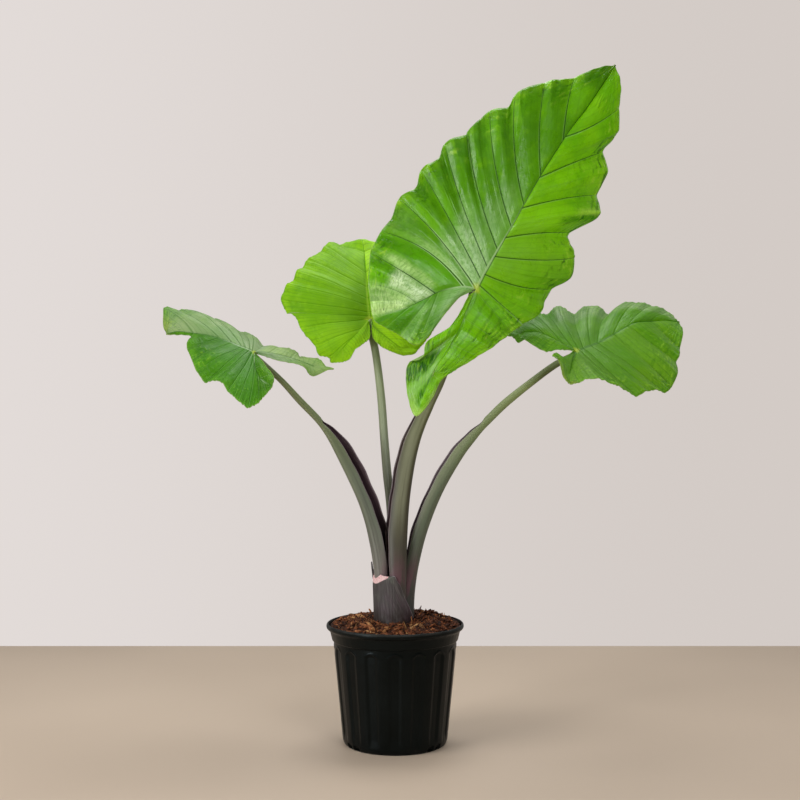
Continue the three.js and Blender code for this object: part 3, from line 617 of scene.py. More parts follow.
def half_blade(leaf, side):
    """The points of one half, and the numbers that its finish reads, as grids of spokes."""
    s = spoke_rows(leaf, side)
    t = spoke_places(leaf)
    turns = s[:, None]
    flat, length, along = spoke_fan(leaf, side, s, t)
    width = pleat_widths(leaf, side, s, flat)
    crest, flank = crests(leaf[side], s, t)
    waves = np.sin(6 * np.pi * s + 2.3 * np.sin(1.7 * s))[:, None] * crest * smooth(0.72, 1, t)
    patch = smooth(0.1, 0.9, np.sin(2.1 * s + (1 if side == "left" else 4)) + 0.5 * np.sin(5.3 * s))
    folds = np.sin(np.pi * (6 * turns + 2.5 * t + 0.5 * np.sin(9 * turns)))
    bend = 4 * t * (1 - t)
    swell = mix(0.35, 1, smooth(0.05, 0.8, t)) * smooth(0, 0.05, t) * smooth(0, RIPPLE_REACH, length)
    lift = leaf["camber"] * length * bend
    lift = lift + leaf["pleat"] * np.minimum(width, PLEAT_MOST) * crest * swell
    lift = lift + MARGIN_WAVE * waves + CRINKLE * folds * patch[:, None] * smooth(0.62, 0.95, t)
    lift = lift + DRIFT * np.sin(1.3 * turns + 5 * t) * bend
    points = flat + way_up(leaf, side) * lift[..., None]

    out = t * length
    to_vein = np.abs(turns - np.clip(np.round(turns), 1, LAST_VEIN - 1)) * width
    numbers = {"to_vein": to_vein / MM, "to_rib": out / MM, "to_edge": (1 - t) * length / MM,
               "net": (out - 0.6 * to_vein) / MM, "turn": np.sin(2 * np.pi * turns), "flank": flank,
               "share": t, "along": along, "vein": turns, "half": float(side == "right")}
    return points, {label: np.broadcast_to(values, width.shape) for label, values in numbers.items()}


print("points on a half:", half_blade(LEAVES["front"], "left")[0].shape[:2])

# %% [markdown]
# A blade is thin, but not a sheet of paper: its ribs stand out below it, and from the side its edge
# shows. The upper face is the sheet itself, the under face hangs below it by the thickness there,
# and a narrow wall closes the margin.

# %% Both halves joined, and given a thickness
BLADE = 0.8 * MM
VEIN_DEPTH = 1.1 * MM
MIDRIB_DEPTH = 3.2 * MM
VEIN_WIDTH = 1.6
RIB_WIDTHS = 3.6, 1.2        # half the rib's width at the stalk and at the tip, in mm
UPPER, UNDER = 0, 1


def blade_mesh(leaf):
    points, faces, numbers = [], [], {}
    for side in ("left", "right"):
        grid, held = half_blade(leaf, side)
        first = sum(len(p) for p in points)
        quads = grid_faces(*grid.shape[:2], flip=side == "right")
        faces += [[c + first for c in quad] for quad in quads]
        points.append(grid.reshape(-1, 3))
        for label, values in held.items():
            numbers.setdefault(label, []).append(values.ravel())
    numbers = {label: np.concatenate(values) for label, values in numbers.items()}
    return welded(np.concatenate(points), faces, numbers)


def corner_normals(points, faces):
    normals = np.zeros_like(points)
    for size in (3, 4):
        these = np.array([f for f in faces if len(f) == size])
        if len(these):
            cross = np.cross(points[these[:, 2]] - points[these[:, 0]],
                             points[these[:, -1]] - points[these[:, 1]])
            for k in range(size):
                np.add.at(normals, these[:, k], cross)
    return unit(normals)


def thick_blade(leaf):
    points, faces, numbers = blade_mesh(leaf)
    normals = corner_normals(points, faces)
    from_stalk = np.abs(numbers["along"])
    rib_width = mix(*RIB_WIDTHS, smooth(0, 1, from_stalk))
    rib = MIDRIB_DEPTH * mix(1, 0.35, from_stalk)
    rib = rib * np.sqrt(np.clip(1 - (numbers["to_rib"] / rib_width)**2, 0, 1))
    vein = VEIN_DEPTH * (1 - numbers["share"]) * np.exp(-(numbers["to_vein"] / VEIN_WIDTH)**2)
    under = points - normals * (BLADE + np.maximum(rib, vein))[:, None]
    count = len(points)
    edges = {(f[k], f[(k + 1) % len(f)]) for f in faces for k in range(len(f))}
    walls = [(b, a, a + count, b + count) for a, b in edges if (b, a) not in edges]
    below = [[c + count for c in reversed(f)] for f in faces]
    slots = [UPPER] * len(faces) + [UNDER] * len(below) + [UPPER] * len(walls)
    numbers = {label: np.concatenate([values, values]) for label, values in numbers.items()}
    return np.concatenate([points, under]), faces + below + walls, slots, numbers


# %% [markdown]
# ## The leaf's finish
# The upper face is waxy and full of small relief: sunken side veins with a painted highlight on the edge
# beside them, a net of finer veins that quilts the blade, and a pale midrib. An image would hold all
# that, but only at one size. The distances stored on the points give the same lines sharply at any size.
# The wax's sheen comes partly from roughness that varies over the blade, and partly from painted sheen.

# %% What each leaf looks like
# "left" and "right" hold the two greens of each half, which also paint how differently the halves are
# lit, and the rest are tones or strengths from 0 to 1. The last entry holds painted sheen and painted shade,
# where a blade turns towards the light or from it, and a few of the blade's own tones, such as its pale
# under side and brown spots: (half, first vein, last vein, from share, to share, tone, strength).
MATT = {"edge": "#62a020", "vein": "#2c6610", "groove": 0.4, "rough": 0.42, "hidden_rib": 0.5,
        "shine": 0.12, "crinkle_shading": 0.35, "flank": 0.3, "dim": "#2c6010", "lip_highlights": 0}
LEAF_LOOKS = {
    "front": {
        "left": ("#529402", "#68b002"), "right": ("#68b402", "#82cc06"), "edge": "#86c60a",
        "vein": "#184800", "rib": "#a4cc84", "bloom": ("#5c9634", "#72a82a"), "bloom_share": 0.3,
        "fan": 0.12, "groove": 0.85, "rough": 0.3, "hidden_rib": 0.9, "shine": 0.34, "crinkle_shading": 0.6,
        "flank": 0.6, "dim": "#387600", "lip_highlights": 1.0,
        "sheen_shade_and_tone": (
            ("left", 5.8, 8.2, -0.2, 0.48, "#a8d08c", 0.75),
            ("left", 3.2, 5.8, -0.2, 0.3, "#88b860", 0.4),
            ("left", 8.45, 8.95, 0.1, 0.75, "#b0d888", 0.55),
            ("left", 8.15, 8.8, 0.76, 0.97, "#8cbe60", 0.45),
            ("left", 9.03, 9.62, 0.1, 1.2, "#5eae00", 0.85),
            ("left", 9.68, 9.97, 0.12, 0.76, "#c4ec90", 0.85),
            ("left", 10.03, 10.97, 0.02, 0.62, "#dcf8bc", 0.95),
            ("left", 10.1, 10.9, 0.68, 1.2, "#6cbe00", 0.8),
            ("left", 11.05, 11.97, 0.08, 1.2, "#d4f8a0", 0.9),
            ("left", 12.1, 13.95, 0.0, 1.2, "#58aa04", 0.85),
            ("left", 13.2, 13.95, 0.5, 0.98, "#2c6c00", 0.8),
            ("left", 14.05, 14.6, 0.25, 1.2, "#b0e488", 0.75),
            ("left", 15.2, 16.2, -0.2, 1.2, "#a0cc84", 0.55),
            ("right", 3.32, 3.5, 0.7, 1.2, "#b0e448", 0.8),
            ("right", 3.54, 3.74, 0.55, 1.2, "#2c7400", 0.9),
            ("right", 5.9, 7.3, 0.25, 0.9, "#84cc0c", 0.5),
            ("right", 13.55, 13.95, 0.3, 1.2, "#1f5c02", 1.0),
            ("right", 13.28, 13.5, 0.1, 1.2, "#98cc70", 0.8),
            ("right", 13.06, 13.25, -0.2, 0.72, "#2c7004", 0.95),
            ("right", 12.96, 13.24, 0.74, 0.84, "#347404", 0.9),
            ("right", 12.7, 13.22, 0.86, 1.2, "#c8ec80", 0.9),
            ("right", 12.25, 12.6, 0.72, 1.2, "#b8e478", 0.75),
            ("right", 14.0, 14.35, 0.3, 0.78, "#b0d8a0", 0.7),
            ("right", 13.9, 14.5, 0.84, 1.2, "#2c6c04", 0.8)),
    },
    "back": {
        **MATT, "left": ("#74b008", "#8cc60c"), "right": ("#9cdc0c", "#b0e814"), "edge": "#9ad20c",
        "vein": "#4c8c10", "rib": "#98c82c", "bloom": ("#84b440", "#84b440"), "bloom_share": 0.12,
        "fan": 0.35, "groove": 0.35, "rough": 0.55, "crinkle_shading": 0.3, "flank": 0.15, "dim": "#4c8c10",
        "sheen_shade_and_tone": (
            ("right", 8.0, 14.0, 0.0, 1.2, "#a8e014", 0.7),
            ("left", 0.0, 3.2, 0.3, 1.2, "#68a408", 0.5)),
    },
    "left": {
        **MATT, "left": ("#387006", "#48860a"), "right": ("#789c5c", "#94ae74"), "rib": "#9cb88a",
        "bloom": ("#4c8c28", "#98b088"), "bloom_share": 0.25, "fan": 0.25,
        "sheen_shade_and_tone": (
            ("right", 8.4, 14.0, 0.0, 1.2, "#a0bc6c", 0.7),
            ("right", 0.0, 0.6, 0.5, 1.2, "#98ac30", 0.5)),
    },
    "right": {
        **MATT, "left": ("#4c880a", "#60980e"), "right": ("#528c04", "#649808"), "rib": "#4c8020",
        "bloom": ("#769a54", "#6c9c30"), "bloom_share": 0.18, "fan": 0.35, "groove": 0.28,
        "sheen_shade_and_tone": (
            ("left", 0.3, 7.5, 0.62, 1.2, "#94b078", 0.7),
            ("right", 8.6, 13.4, 0.2, 1.2, "#7ca440", 0.45),
            ("right", 10.2, 13.2, 0.78, 1.2, "#8c7434", 0.4),
            ("right", 2.0, 3.2, 0.1, 1.0, "#74a424", 0.4),
            ("left", 8.6, 14.0, 0.3, 1.2, "#5c9030", 0.4)),
    },
}
print("curls:", {name: len(look["sheen_shade_and_tone"]) for name, look in LEAF_LOOKS.items()})

# %% Greens of the upper face
# The finish holds the numbers of the mesh under their own names. The half is 0 on the left and 1 on
# the right, and along is 0 at the stalk, 1 at the leaf's tip and below 0 on a lobe's rib.
LEAF_NUMBERS = "to_vein", "to_rib", "to_edge", "turn", "net", "share", "along", "vein", "half", "flank"


def blade_finish(name):
    finish = Finish(name)
    for label in LEAF_NUMBERS:
        setattr(finish, label, finish.attribute(label))
    finish.from_stalk = finish.along.size()
    finish.ragged = finish.noise(30.0, 4.0, 0.65)
    finish.flow = finish.noise(17.0, 3.0, 0.6)
    return finish


def paint_greens(finish, look):
    """Broad patches, each half with its own greens that also paint how it is lit, a brighter margin and a
    painted sheen.
    """
    patches = finish.noise(9.0).step(0.36, 0.66)
    finish.colour = finish.colour_mix(finish.half, *(
        finish.colour_mix(patches, *look[side]) for side in ("left", "right")))
    near_edge = finish.to_edge.step(26.0, 3.0) * finish.noise(22.0).step(0.35, 0.65, 0.15, 0.8)
    finish.paint(look["edge"], near_edge)
    # Painted sheen: a pale reflection tone laid in clouds that fade from the stalk towards the tip.
    finish.bloom = finish.colour_mix(finish.half, *look["bloom"])
    cloud = finish.noise(6.0, 2.0).step(0.35, 0.7) * look["bloom_share"] * 2
    finish.paint(finish.bloom, cloud * finish.from_stalk.step(0.7, 0.2))
    finish.paint(look["edge"], finish.noise(55.0, 4.0).step(0.5, 0.75, 0.0, 0.3))


def paint_sheen_shade_and_tone(finish, look):
    """Painted sheen and painted shade, and a few of the blade's own tones, ragged at their ends and broken
    into short strokes.
    """
    stir = finish.ragged * 3.0
    strokes = finish.drawn_out(finish.vein * 5.0 + stir, finish.share * 34.0 + stir, finish.half * 5.0)
    broken = finish.flow.step(0.3, 0.55, 0.45, 1.0) * strokes.step(0.38, 0.56, 0.55, 1.12)
    wobble = finish.ragged - 0.5
    for side, first, last, near, far, tone, strength in look["sheen_shade_and_tone"]:
        on_side = finish.half if side == "right" else 1 - finish.half
        soft = min(0.25, (last - first) * 0.4)
        edge = min(0.1, (far - near) * 0.4)
        bent = finish.vein + wobble * soft * 1.6
        spread = finish.share + wobble * edge * 3
        mask = bent.step(first - soft, first + soft) * bent.step(last + soft, last - soft)
        mask = mask * spread.step(near - edge, near + edge) * spread.step(far + edge, far - edge)
        # Painted sheen and painted shade, with a few of the blade's own tones.
        finish.paint(tone, mask * on_side * broken * strength)


print("numbers of a blade:", ", ".join(LEAF_NUMBERS))

# %% [markdown]
# Between its side veins a blade has finer ones: a fan that runs with them and a net that crosses
# them. Near the margin the skin is wrinkled too, with painted shade in the wrinkles' hollows and painted
# highlights on their ridges. All of these are lines where a stored number comes to a round value, bent a
# little by noise, so that none is ruled.

# %% Veins of the upper face


def paint_fine_veins(finish, look):
    """Gives back the fan, the net's crossings and the wrinkles, for the relief."""
    vein, share, half = finish.vein, finish.share, finish.half
    wander = finish.noise(40.0, 2.0)
    fan = (vein * math.pi * 5 + wander * 1.5).sine().size().step(0.5, 0.0)
    crossing = (finish.net / 9.5 + wander * 0.5 + vein * 3.7).sine().size()
    finish.paint(look["vein"], crossing.step(0.16, 0.0) * finish.to_rib.step(8.0, 26.0) * 0.08)

    stir = finish.ragged * 2.4
    wrinkle = finish.drawn_out(vein * 3.5 + stir, share * 17.0 + stir, half * 5.0, detail=2.0)
    wrinkle_light_mask = finish.to_edge.step(half * 35.0 + 85.0, 15.0) * finish.flow.step(0.4, 0.56)
    wrinkle_light_mask = wrinkle_light_mask * look["crinkle_shading"] * (half * 0.35 + 1)
    # Painted shade in the wrinkles' hollows and painted highlights on their ridges, near the margin.
    finish.paint(look["vein"], wrinkle.step(0.48, 0.32) * wrinkle_light_mask)
    finish.paint("#a8d83c", wrinkle.step(0.55, 0.7) * wrinkle_light_mask)
    finish.paint(look["vein"], fan * look["fan"])
    # Faint painted sheen in streaks across the blade.
    finish.paint(finish.bloom, (share * 34 + vein * 1.9 + wander * 2).sine().step(0.2, 1.0) * 0.05)
    # Painted shade: the flank of a pleat that looks away from the light is darkened.
    flank = finish.flank * finish.ragged.step(0.3, 0.6, 0.4, 1.0)
    finish.paint(look["dim"], flank * look["flank"] * (1 - half * 0.75))
    return fan, crossing, wrinkle, wander


def paint_side_veins(finish, look, wander):
    """Dark sunken lines, each with a painted highlight on the edge beside it. Gives back the grooves and the
    hind part.
    """
    vein, share, half = finish.vein, finish.share, finish.half
    hind = half * vein.step(7.2, 7.9) * look["hidden_rib"]
    lines = finish.to_vein / share.step(0.0, 1.0, 1.5, 0.55)
    groove = lines.step(1.0, 0.35) * share.step(1.0, 0.9) * vein.step(10.5, 11.2, 1, 0.3) * (1 - hind)
    lip = (lines - 1.7).size().step(0.9, 0.1)
    by_junction = vein.step(7.7, 7.9) * vein.step(9.4, 9.2) * share.step(0.7, 0.55) * (1 - half)
    # Painted highlight on the edge beside each vein, strongest by the junction where the front leaf shines.
    finish.paint(look["rib"], lip * (finish.turn.step(-0.02, 0.02) * 0.25 + by_junction * look["lip_highlights"]))
    lengthwise = (share * 30 + wander * 3.0 + vein * 0.6).sine().step(0.3, 1.0)
    finish.paint(look["vein"], lengthwise * hind * vein.step(11.2, 10.6) * 0.3)
    finish.paint(look["vein"], groove * look["groove"])
    return groove, hind


def paint_ribs(finish, look, hind):
    """The midrib and the ribs of the lobes are pale bands that thin out along their length."""
    vein, share, half, from_stalk = finish.vein, finish.share, finish.half, finish.from_stalk
    out = finish.to_rib / from_stalk.step(0.0, 0.8, 2.6, 0.9)
    band = out.step(1.1, 0.7)
    lobe = finish.along.step(0.0, -0.02)
    pale = from_stalk.step(0.62, 0.3, 0.0, 0.95) * (1 - lobe * half * look["hidden_rib"])
    past_lobe = (vein - 12.0).size().step(0.5, 0.4) * (finish.to_vein / 1.3).step(1.0, 0.5)
    finish.paint(look["rib"], past_lobe * share.step(0.8, 0.3) * (1 - half) * 0.6)
    finish.paint(look["rib"], band * pale)
    finish.paint(look["vein"], band * (1 - pale) * (0.8 - hind * 0.6))
    # Painted shade: a dark line beside the rib on the right half.
    finish.paint(look["vein"], out.step(2.2, 1.2) * (1 - band) * half * (1 - hind * 0.9) * 0.7)
    finish.paint("#b4cc3c", (finish.to_rib + from_stalk * 250).step(16.0, 4.0) * 0.8)
    finish.paint("#a4c060", finish.to_edge.step(1.8, 0.6) * 0.4)
    return band


print("veins ready")

# %% Upper and under face of a leaf
RELIEF = 0.6 * MM


def upper_finish(name, look):
    finish = blade_finish(f"leaf_{name}_upper")
    paint_greens(finish, look)
    paint_sheen_shade_and_tone(finish, look)
    fan, crossing, wrinkle, wander = paint_fine_veins(finish, look)
    groove, hind = paint_side_veins(finish, look, wander)
    band = paint_ribs(finish, look, hind)
    quilt = crossing * finish.to_rib.step(4.0, 30.0) * 0.3 + finish.noise(120.0) * 0.25
    pucker = finish.noise(62.0, 2.0) * 0.9 + finish.noise(30.0, 2.0) * 1.3
    height = quilt + pucker + wrinkle * finish.to_edge.step(70.0, 10.0) * 3.0
    height = height - groove * 0.9 + band * finish.from_stalk.step(0.5, 0.2) * 0.6 - fan * look["fan"]
    rough = finish.noise(35.0).step(0.3, 0.7, look["rough"] - 0.05, look["rough"] + 0.08)
    rough = rough + band * finish.from_stalk.step(0.3, 0.55) * 0.5 + groove * 0.3
    return finish.use(rough, height, RELIEF, Specular_IOR_Level=look["shine"])


def under_finish(name):
    finish = Finish(f"leaf_{name}_under", "#6f9a3e")
    finish.paint("#8cb04e", finish.noise(14.0).step(0.35, 0.65))
    finish.paint("#b2c884", finish.attribute("to_vein").step(2.0, 0.6) * 0.6)
    finish.paint("#b9cc8e", finish.attribute("to_rib").step(4.0, 2.0) * 0.8)
    net = (finish.attribute("net") / 9.5 + finish.attribute("vein") * 3.7).sine().size()
    return finish.use(0.55, finish.noise(120.0) * 0.4 - net * 0.3, RELIEF)


for name, leaf in LEAVES.items():
    points, faces, slots, numbers = thick_blade(leaf)
    faces_of_leaf = [upper_finish(name, LEAF_LOOKS[name]), under_finish(name)]
    piece(f"blade_{name}", points, faces, faces_of_leaf, replaces=(f"leaf_{name}",), slots=slots,
          slot=f"leaf_{name}", **numbers)

# %% [markdown]
# ## The stalks
# Each leaf stands on a stalk that is round above and opens below into a sheath: two thin wings with a
# dark channel between them, which wrapped the next leaf when it was young. A curve with a bevel
# would give the round part, but not the wings, so a C-shaped ring is carried along the stalk's line
# and its wings grow and shrink on the way.

# %% Stalk lines
# Each row: (x, z, depth) on the front elevation, the radius and how far the wings reach, in mm. The
# near wing is the one that is rolled back, so that the dark channel shows. The seam is where the turn
# stored on the points starts again, and is kept out of sight.
STALKS = {
    "front": {
        "opens_to": (-1, 0), "near": -1, "near_share": 0.72, "seam": 0.5,
        "rows": (((3, 205, -17), 16, 4), ((3, 240, -17), 16.5, 8), ((4, 300, -16), 17, 14),
                 ((6, 380, -12), 16.6, 19), ((12, 450, -6), 15.2, 20), ((23, 515, 1), 13.6, 19),
                 ((35, 560, 7), 12, 18), ((47, 592, 11), 11, 15), ((60, 620, 14), 10, 8),
                 ((66, 633, 15), 9.6, 2), ((84, 672, 18), 9.4, 0), ((114, 752, 19), 8.8, 0),
                 ((137, 805, 17), 7.6, 0)),
    },
    "left": {
        "opens_to": (1, -0.1), "near": 1, "near_share": 0.5, "seam": 0,
        "rows": (((-20, 205, -3), 14, 2), ((-20, 240, -3), 14, 8), ((-22, 282, -4), 14.2, 15),
                 ((-27, 330, -5), 14, 20), ((-34, 368, -6), 13.2, 21), ((-47, 415, -8), 11, 22),
                 ((-66, 462, -11), 9, 25), ((-105, 539, -15), 7.2, 22), ((-124, 573, -16), 6.7, 13),
                 ((-143, 598, -17), 6.3, 0), ((-176, 632, -19), 6.3, 0), ((-213, 672, -21), 5.4, 0)),
    },
    "right": {
        "opens_to": (-1, 0), "near": -1, "near_share": 0.74, "seam": 0.5,
        "rows": (((20, 205, -1), 15, 2), ((20, 240, -1), 15, 5), ((23, 283, 0), 14.2, 7),
                 ((31, 331, 2), 13.4, 10), ((49, 396, 5), 12, 14), ((79, 467, 9), 10.4, 15.5),
                 ((118, 532, 12), 8.7, 15), ((144, 566, 15), 8, 11), ((158, 583, 16), 7.8, 5),
                 ((174, 599, 17), 7.6, 0), ((204, 628, 20), 7.6, 0), ((250, 665, 23), 6.9, 0),
                 ((298, 700, 25), 6.4, 0)),
    },
    "back": {
        "opens_to": (0.2, -1), "near": 1, "near_share": 1, "seam": 0,
        "rows": (((-1, 205, 18), 14, 0), ((-1, 240, 18), 13.5, 0), ((-2, 300, 20), 12, 4),
                 ((-3, 360, 26), 11, 10), ((-6, 420, 34), 9.6, 8), ((-9, 450, 40), 8.8, 0),
                 ((-15, 500, 51), 8.4, 0), ((-20, 560, 65), 8, 0), ((-26, 640, 84), 7.8, 0),
                 ((-36, 720, 106), 7.4, 0)),
    },
}
STALK_FOOT = 205 * MM
RUN_OUT = ((0, 1), (0.05, 0.72), (0.12, 0.42), (0.2, 0.25))    # place on the midrib, share of radius
UNDER_BLADE = 1.6 * MM


def stalk_line(name):
    """Centres, radii and wing reaches of all rows, ending along the under side of the midrib."""
    leaf = LEAVES[name]
    rows = STALKS[name]["rows"]
    centres = [drawn(*place) for place, _, _ in rows]
    centres[0] = (*centres[0][:2], STALK_FOOT)
    radii = [radius * MM for _, radius, _ in rows]
    wings = [reach * MM for _, _, reach in rows]
    midrib = midrib_of(leaf)[0]
    up = unit(way_up(leaf, "left") + way_up(leaf, "right"))
    top = radii[-1]
    for place, share in RUN_OUT:
        centres.append(midrib(place) - up * (top * share + BLADE + UNDER_BLADE))
        radii.append(top * share)
        wings.append(0)
    return np.array(centres), np.array(radii), np.array(wings)


print("stalk rows:", {name: len(stalk_line(name)[0]) for name in STALKS})

# %% Parts of a ring
STALK_STEPS = 150
WING = 1.5 * MM              # thickness of a wing
BACK_EDGE = 96               # degrees from the middle of the back to where the wings begin
FLOOR_EDGE = 150             # and to where the channel's floor begins
BACK_POINTS, WING_POINTS, FLOOR_POINTS = 33, 8, 9
WING_SHARES = np.linspace(0.12, 1, WING_POINTS)


def stalk_path(name):
    """All along a stalk: centres, radii, wing reaches, lengths, and the two ways across."""
    centres, radii, wings = stalk_line(name)
    steps = np.linalg.norm(np.diff(centres, axis=0), axis=1)
    places = np.concatenate([[0], np.cumsum(np.sqrt(steps))])
    fine = np.interp(np.linspace(0, 1, STALK_STEPS), np.linspace(0, 1, len(places)), places)
    line = curve_through(places, centres)(fine)
    radius = curve_through(places, radii[:, None])(fine)
    wing = np.maximum(curve_through(places, wings[:, None])(fine), 0)
    length = np.concatenate([[0], np.cumsum(np.linalg.norm(np.diff(line, axis=0), axis=1))])[:, None]
    tangent = unit(np.gradient(line, axis=0))
    inward = np.array([*STALKS[name]["opens_to"], 0.0])
    inward = unit(inward - tangent * (tangent @ inward)[:, None])
    return line, radius, wing, length, inward, np.cross(inward, tangent)


def wing_face(radius, tip, opened, inner):
    """A face of a wing, from the stalk to its tip. Where there is no wing, the outer face closes the
    round stalk, and the inner one falls on the rim of the floor and is welded there."""
    out = radius * 0.1 + (tip - radius * 0.1) * WING_SHARES
    aside = radius * (0.99 - 0.28 * WING_SHARES**2) - np.minimum(WING, radius * 0.2) * inner
    angle = np.radians(mix(BACK_EDGE, FLOOR_EDGE, 1 if inner else WING_SHARES))
    return mix(-np.cos(angle) * radius, out, opened), mix(np.sin(angle) * radius, aside, opened)


def channel(radius, opened):
    """The floor between the wings: hollow where they stand, round where they don't."""
    angle = np.radians(np.linspace(FLOOR_EDGE, 360 - FLOOR_EDGE, FLOOR_POINTS))
    u = np.linspace(0.86, -0.86, FLOOR_POINTS)
    out = mix(-np.cos(angle) * radius, radius * (0.05 + 0.35 * u**2), opened)
    return out, mix(np.sin(angle) * radius, radius * u * 0.9, opened)


print("points on a ring:", BACK_POINTS + 4 * WING_POINTS + FLOOR_POINTS)

# %% Rings of a stalk


def stalk_rings(name):
    """Every ring runs over the back, up and down one wing, along the floor, and over the other."""
    stalk = STALKS[name]
    line, radius, wing, length, inward, side = stalk_path(name)
    opened = smooth(0, 5 * MM, wing)
    ruffle = 1 + 0.05 * np.sin(length / (23 * MM)) + 0.03 * np.sin(length / (9 * MM))
    back = np.radians(np.linspace(-BACK_EDGE, BACK_EDGE, BACK_POINTS))
    parts = [(-np.cos(back) * radius, np.sin(back) * radius)]
    for sign in (1, -1):
        kept = stalk["near_share"] if sign == stalk["near"] else 1
        tip = radius * 0.25 + wing * ruffle * kept
        outer, inner = (wing_face(radius, tip, opened, face) for face in (0, 1))
        if sign == 1:
            parts += [outer, (inner[0][:, ::-1], inner[1][:, ::-1]), channel(radius, opened)]
        else:
            parts += [(inner[0], -inner[1]), (outer[0][:, ::-1], -outer[1][:, ::-1])]
    out, across = (np.concatenate([part[k] for part in parts], axis=1) for k in (0, 1))
    points = line[:, None] + inward[:, None] * out[..., None] + side[:, None] * across[..., None]
    tips = WING_SHARES**6
    rim = np.concatenate([np.zeros(BACK_POINTS), tips, tips[::-1], np.zeros(FLOOR_POINTS), tips, tips[::-1]])
    inside = np.zeros(out.shape[1])
    inside[BACK_POINTS + WING_POINTS:-WING_POINTS] = 1
    around = (np.linspace(0, 1, out.shape[1]) + stalk["seam"]) % 1
    numbers = {"length": length, "inside": inside * opened, "rim": rim * opened, "around": around}
    return points, {label: np.broadcast_to(values, out.shape) for label, values in numbers.items()}


print("rings of a stalk:", stalk_rings("front")[0].shape[:2])

# %% [markdown]
# The skin of a stalk is smooth and waxy, with fine streaks that run along it: olive green above,
# grey and then purple towards the soil. Inside the sheath it is dark, and painted shade takes it to near
# black deeper down. A painted highlight stripe runs down the stalk, and painted shadow darkens it under
# the blade. Streaks are noise that is stretched along the stalk, so they are laid out by the length and
# the turn stored on the points.

# %% The stalk's finish


def stalk_finish(name, low, middle, high, channel, shade_below, highlight_stripe_turn, highlight_stripe_share, top):
    finish = Finish(name, low)
    length, around, inside, rim = map(finish.attribute, ("length", "around", "inside", "rim"))
    height = finish.height()
    streaks = finish.drawn_out(around * 30.0, length * 7.0)
    flecks = finish.drawn_out(around * 60.0, length * 30.0, detail=2.0)
    flush = finish.drawn_out(around * 7.0, length * 12.0, 4.0)
    finish.paint(middle, height.step(0.25, 0.46))
    finish.paint(high, height.step(0.44, 0.7))
    finish.paint("#3c3a34", streaks.step(0.4, 0.7) * height.step(0.42, 0.6, 0.5, 0.12))
    finish.paint("#9aa08a", flecks.step(0.6, 0.8) * 0.06)
    finish.paint("#6e4452", flush.step(0.48, 0.62) * height.step(0.37, 0.29) * 0.6)
    # Painted highlight: a pale stripe down one side of the stalk, at the given turn.
    highlight_stripe = ((around - highlight_stripe_turn + 0.25) * math.tau).sine().step(0.8, 1.0)
    highlight_stripe = highlight_stripe * streaks.step(0.25, 0.6, 0.4, 1.0) * highlight_stripe_share
    finish.paint("#a4a888", highlight_stripe * height.step(0.36, 0.46))
    # Painted shadow: the stalk darkens just under the blade.
    finish.paint("#3c4420", height.step(top - 0.04, top - 0.005) * 0.6)
    # The channel keeps its own dark tone; below the given height painted shade takes it to near black.
    hollow = finish.colour_mix(streaks.step(0.35, 0.7), channel, "#54424a")
    hollow = finish.colour_mix(height.step(shade_below, shade_below - 0.1), hollow, "#140e10")
    finish.paint(hollow, inside.step(0.3, 0.8))
    finish.paint("#8a7a80", rim.step(0.45, 0.9) * 0.6)
    rough = streaks.step(0.3, 0.7, 0.36, 0.5) - inside.step(0.3, 0.8) * 0.08
    return finish.use(rough, streaks * 0.5, 0.2 * MM, Specular_IOR_Level=0.4)


# Tones of the foot, the middle, the top and the channel; the height below which painted shade makes
# the channel near black; the turn and the strength of the painted highlight stripe; and the height of
# the painted shadow under the blade.
STALK_LOOKS = {
    "front": ("#4a4440", "#4e4c3a", "#666a44", "#584c44", 0.34, 0.52, 0.4, 0.84),
    "left": ("#807a76", "#687060", "#76824e", "#2a1c22", 0.46, 0.36, 0.15, 0.69),
    "right": ("#484844", "#606a54", "#84945a", "#74686a", 0.33, 0.42, 0.3, 0.69),
    "back": ("#84847a", "#969c8a", "#a4b088", "#453c34", 0.46, 0.45, 0.0, 0.775),
}
for name in STALKS:
    points, numbers = stalk_rings(name)
    faces = tube_faces(*points.shape[:2])
    numbers = {label: values.ravel() for label, values in numbers.items()}
    points, faces, numbers = welded(points.reshape(-1, 3), faces, numbers)
    skin = stalk_finish(f"stalk_{name}_skin", *STALK_LOOKS[name])
    piece(f"petiole_{name}", points, faces, [skin], replaces=(f"stalk_{name}",), slot="stalk", **numbers)

# %% [markdown]
# ## The old sheath
# An older leaf was cut off a hand above the soil. Its sheath is still wrapped round the others: thick
# and fleshy where the cut shows pale pink, and thin as paper at its free margin, which slopes down
# to the right. It is one shell over a turn and a height, so that the cut is a face of the shell.

# %% Shell of the old sheath
SHEATH_TURN = (-200, -36)    # degrees, from the left round the front
SHEATH_RADIUS = 41
SHEATH_FOOT = 206
# (turn, height of the outer edge, height of the inner edge, thickness, how far the cut leans round
# to the left), in degrees and mm
SHEATH_TOP = ((-200, 322, 322.4, 1.6, 0), (-192, 333, 333.5, 1.6, 0), (-186, 322, 323, 1.8, 0),
              (-179, 306, 311, 2.2, 4), (-172, 299, 315, 3, 10), (-163, 297.4, 315, 4, 12),
              (-152, 296.6, 314.4, 5, 11), (-142, 298, 313.6, 6, 9), (-132, 301, 312.6, 6.4, 7),
              (-122, 304.5, 311.6, 5.6, 4), (-112, 307.6, 311, 4.4, 2), (-103, 310.4, 311.6, 3.2, 0),
              (-91, 311.6, 312, 2.2, 0), (-84, 303, 303.4, 2.2, 0), (-76, 294, 294.4, 2.1, 0),
              (-64, 273, 273.3, 2, 0), (-48, 251, 251.2, 2, 0), (-36, 234, 234.2, 2, 0))
SHEATH_STEPS, UP_STEPS, CUT_STEPS = 176, 40, 10          # round, up a face, and across the cut


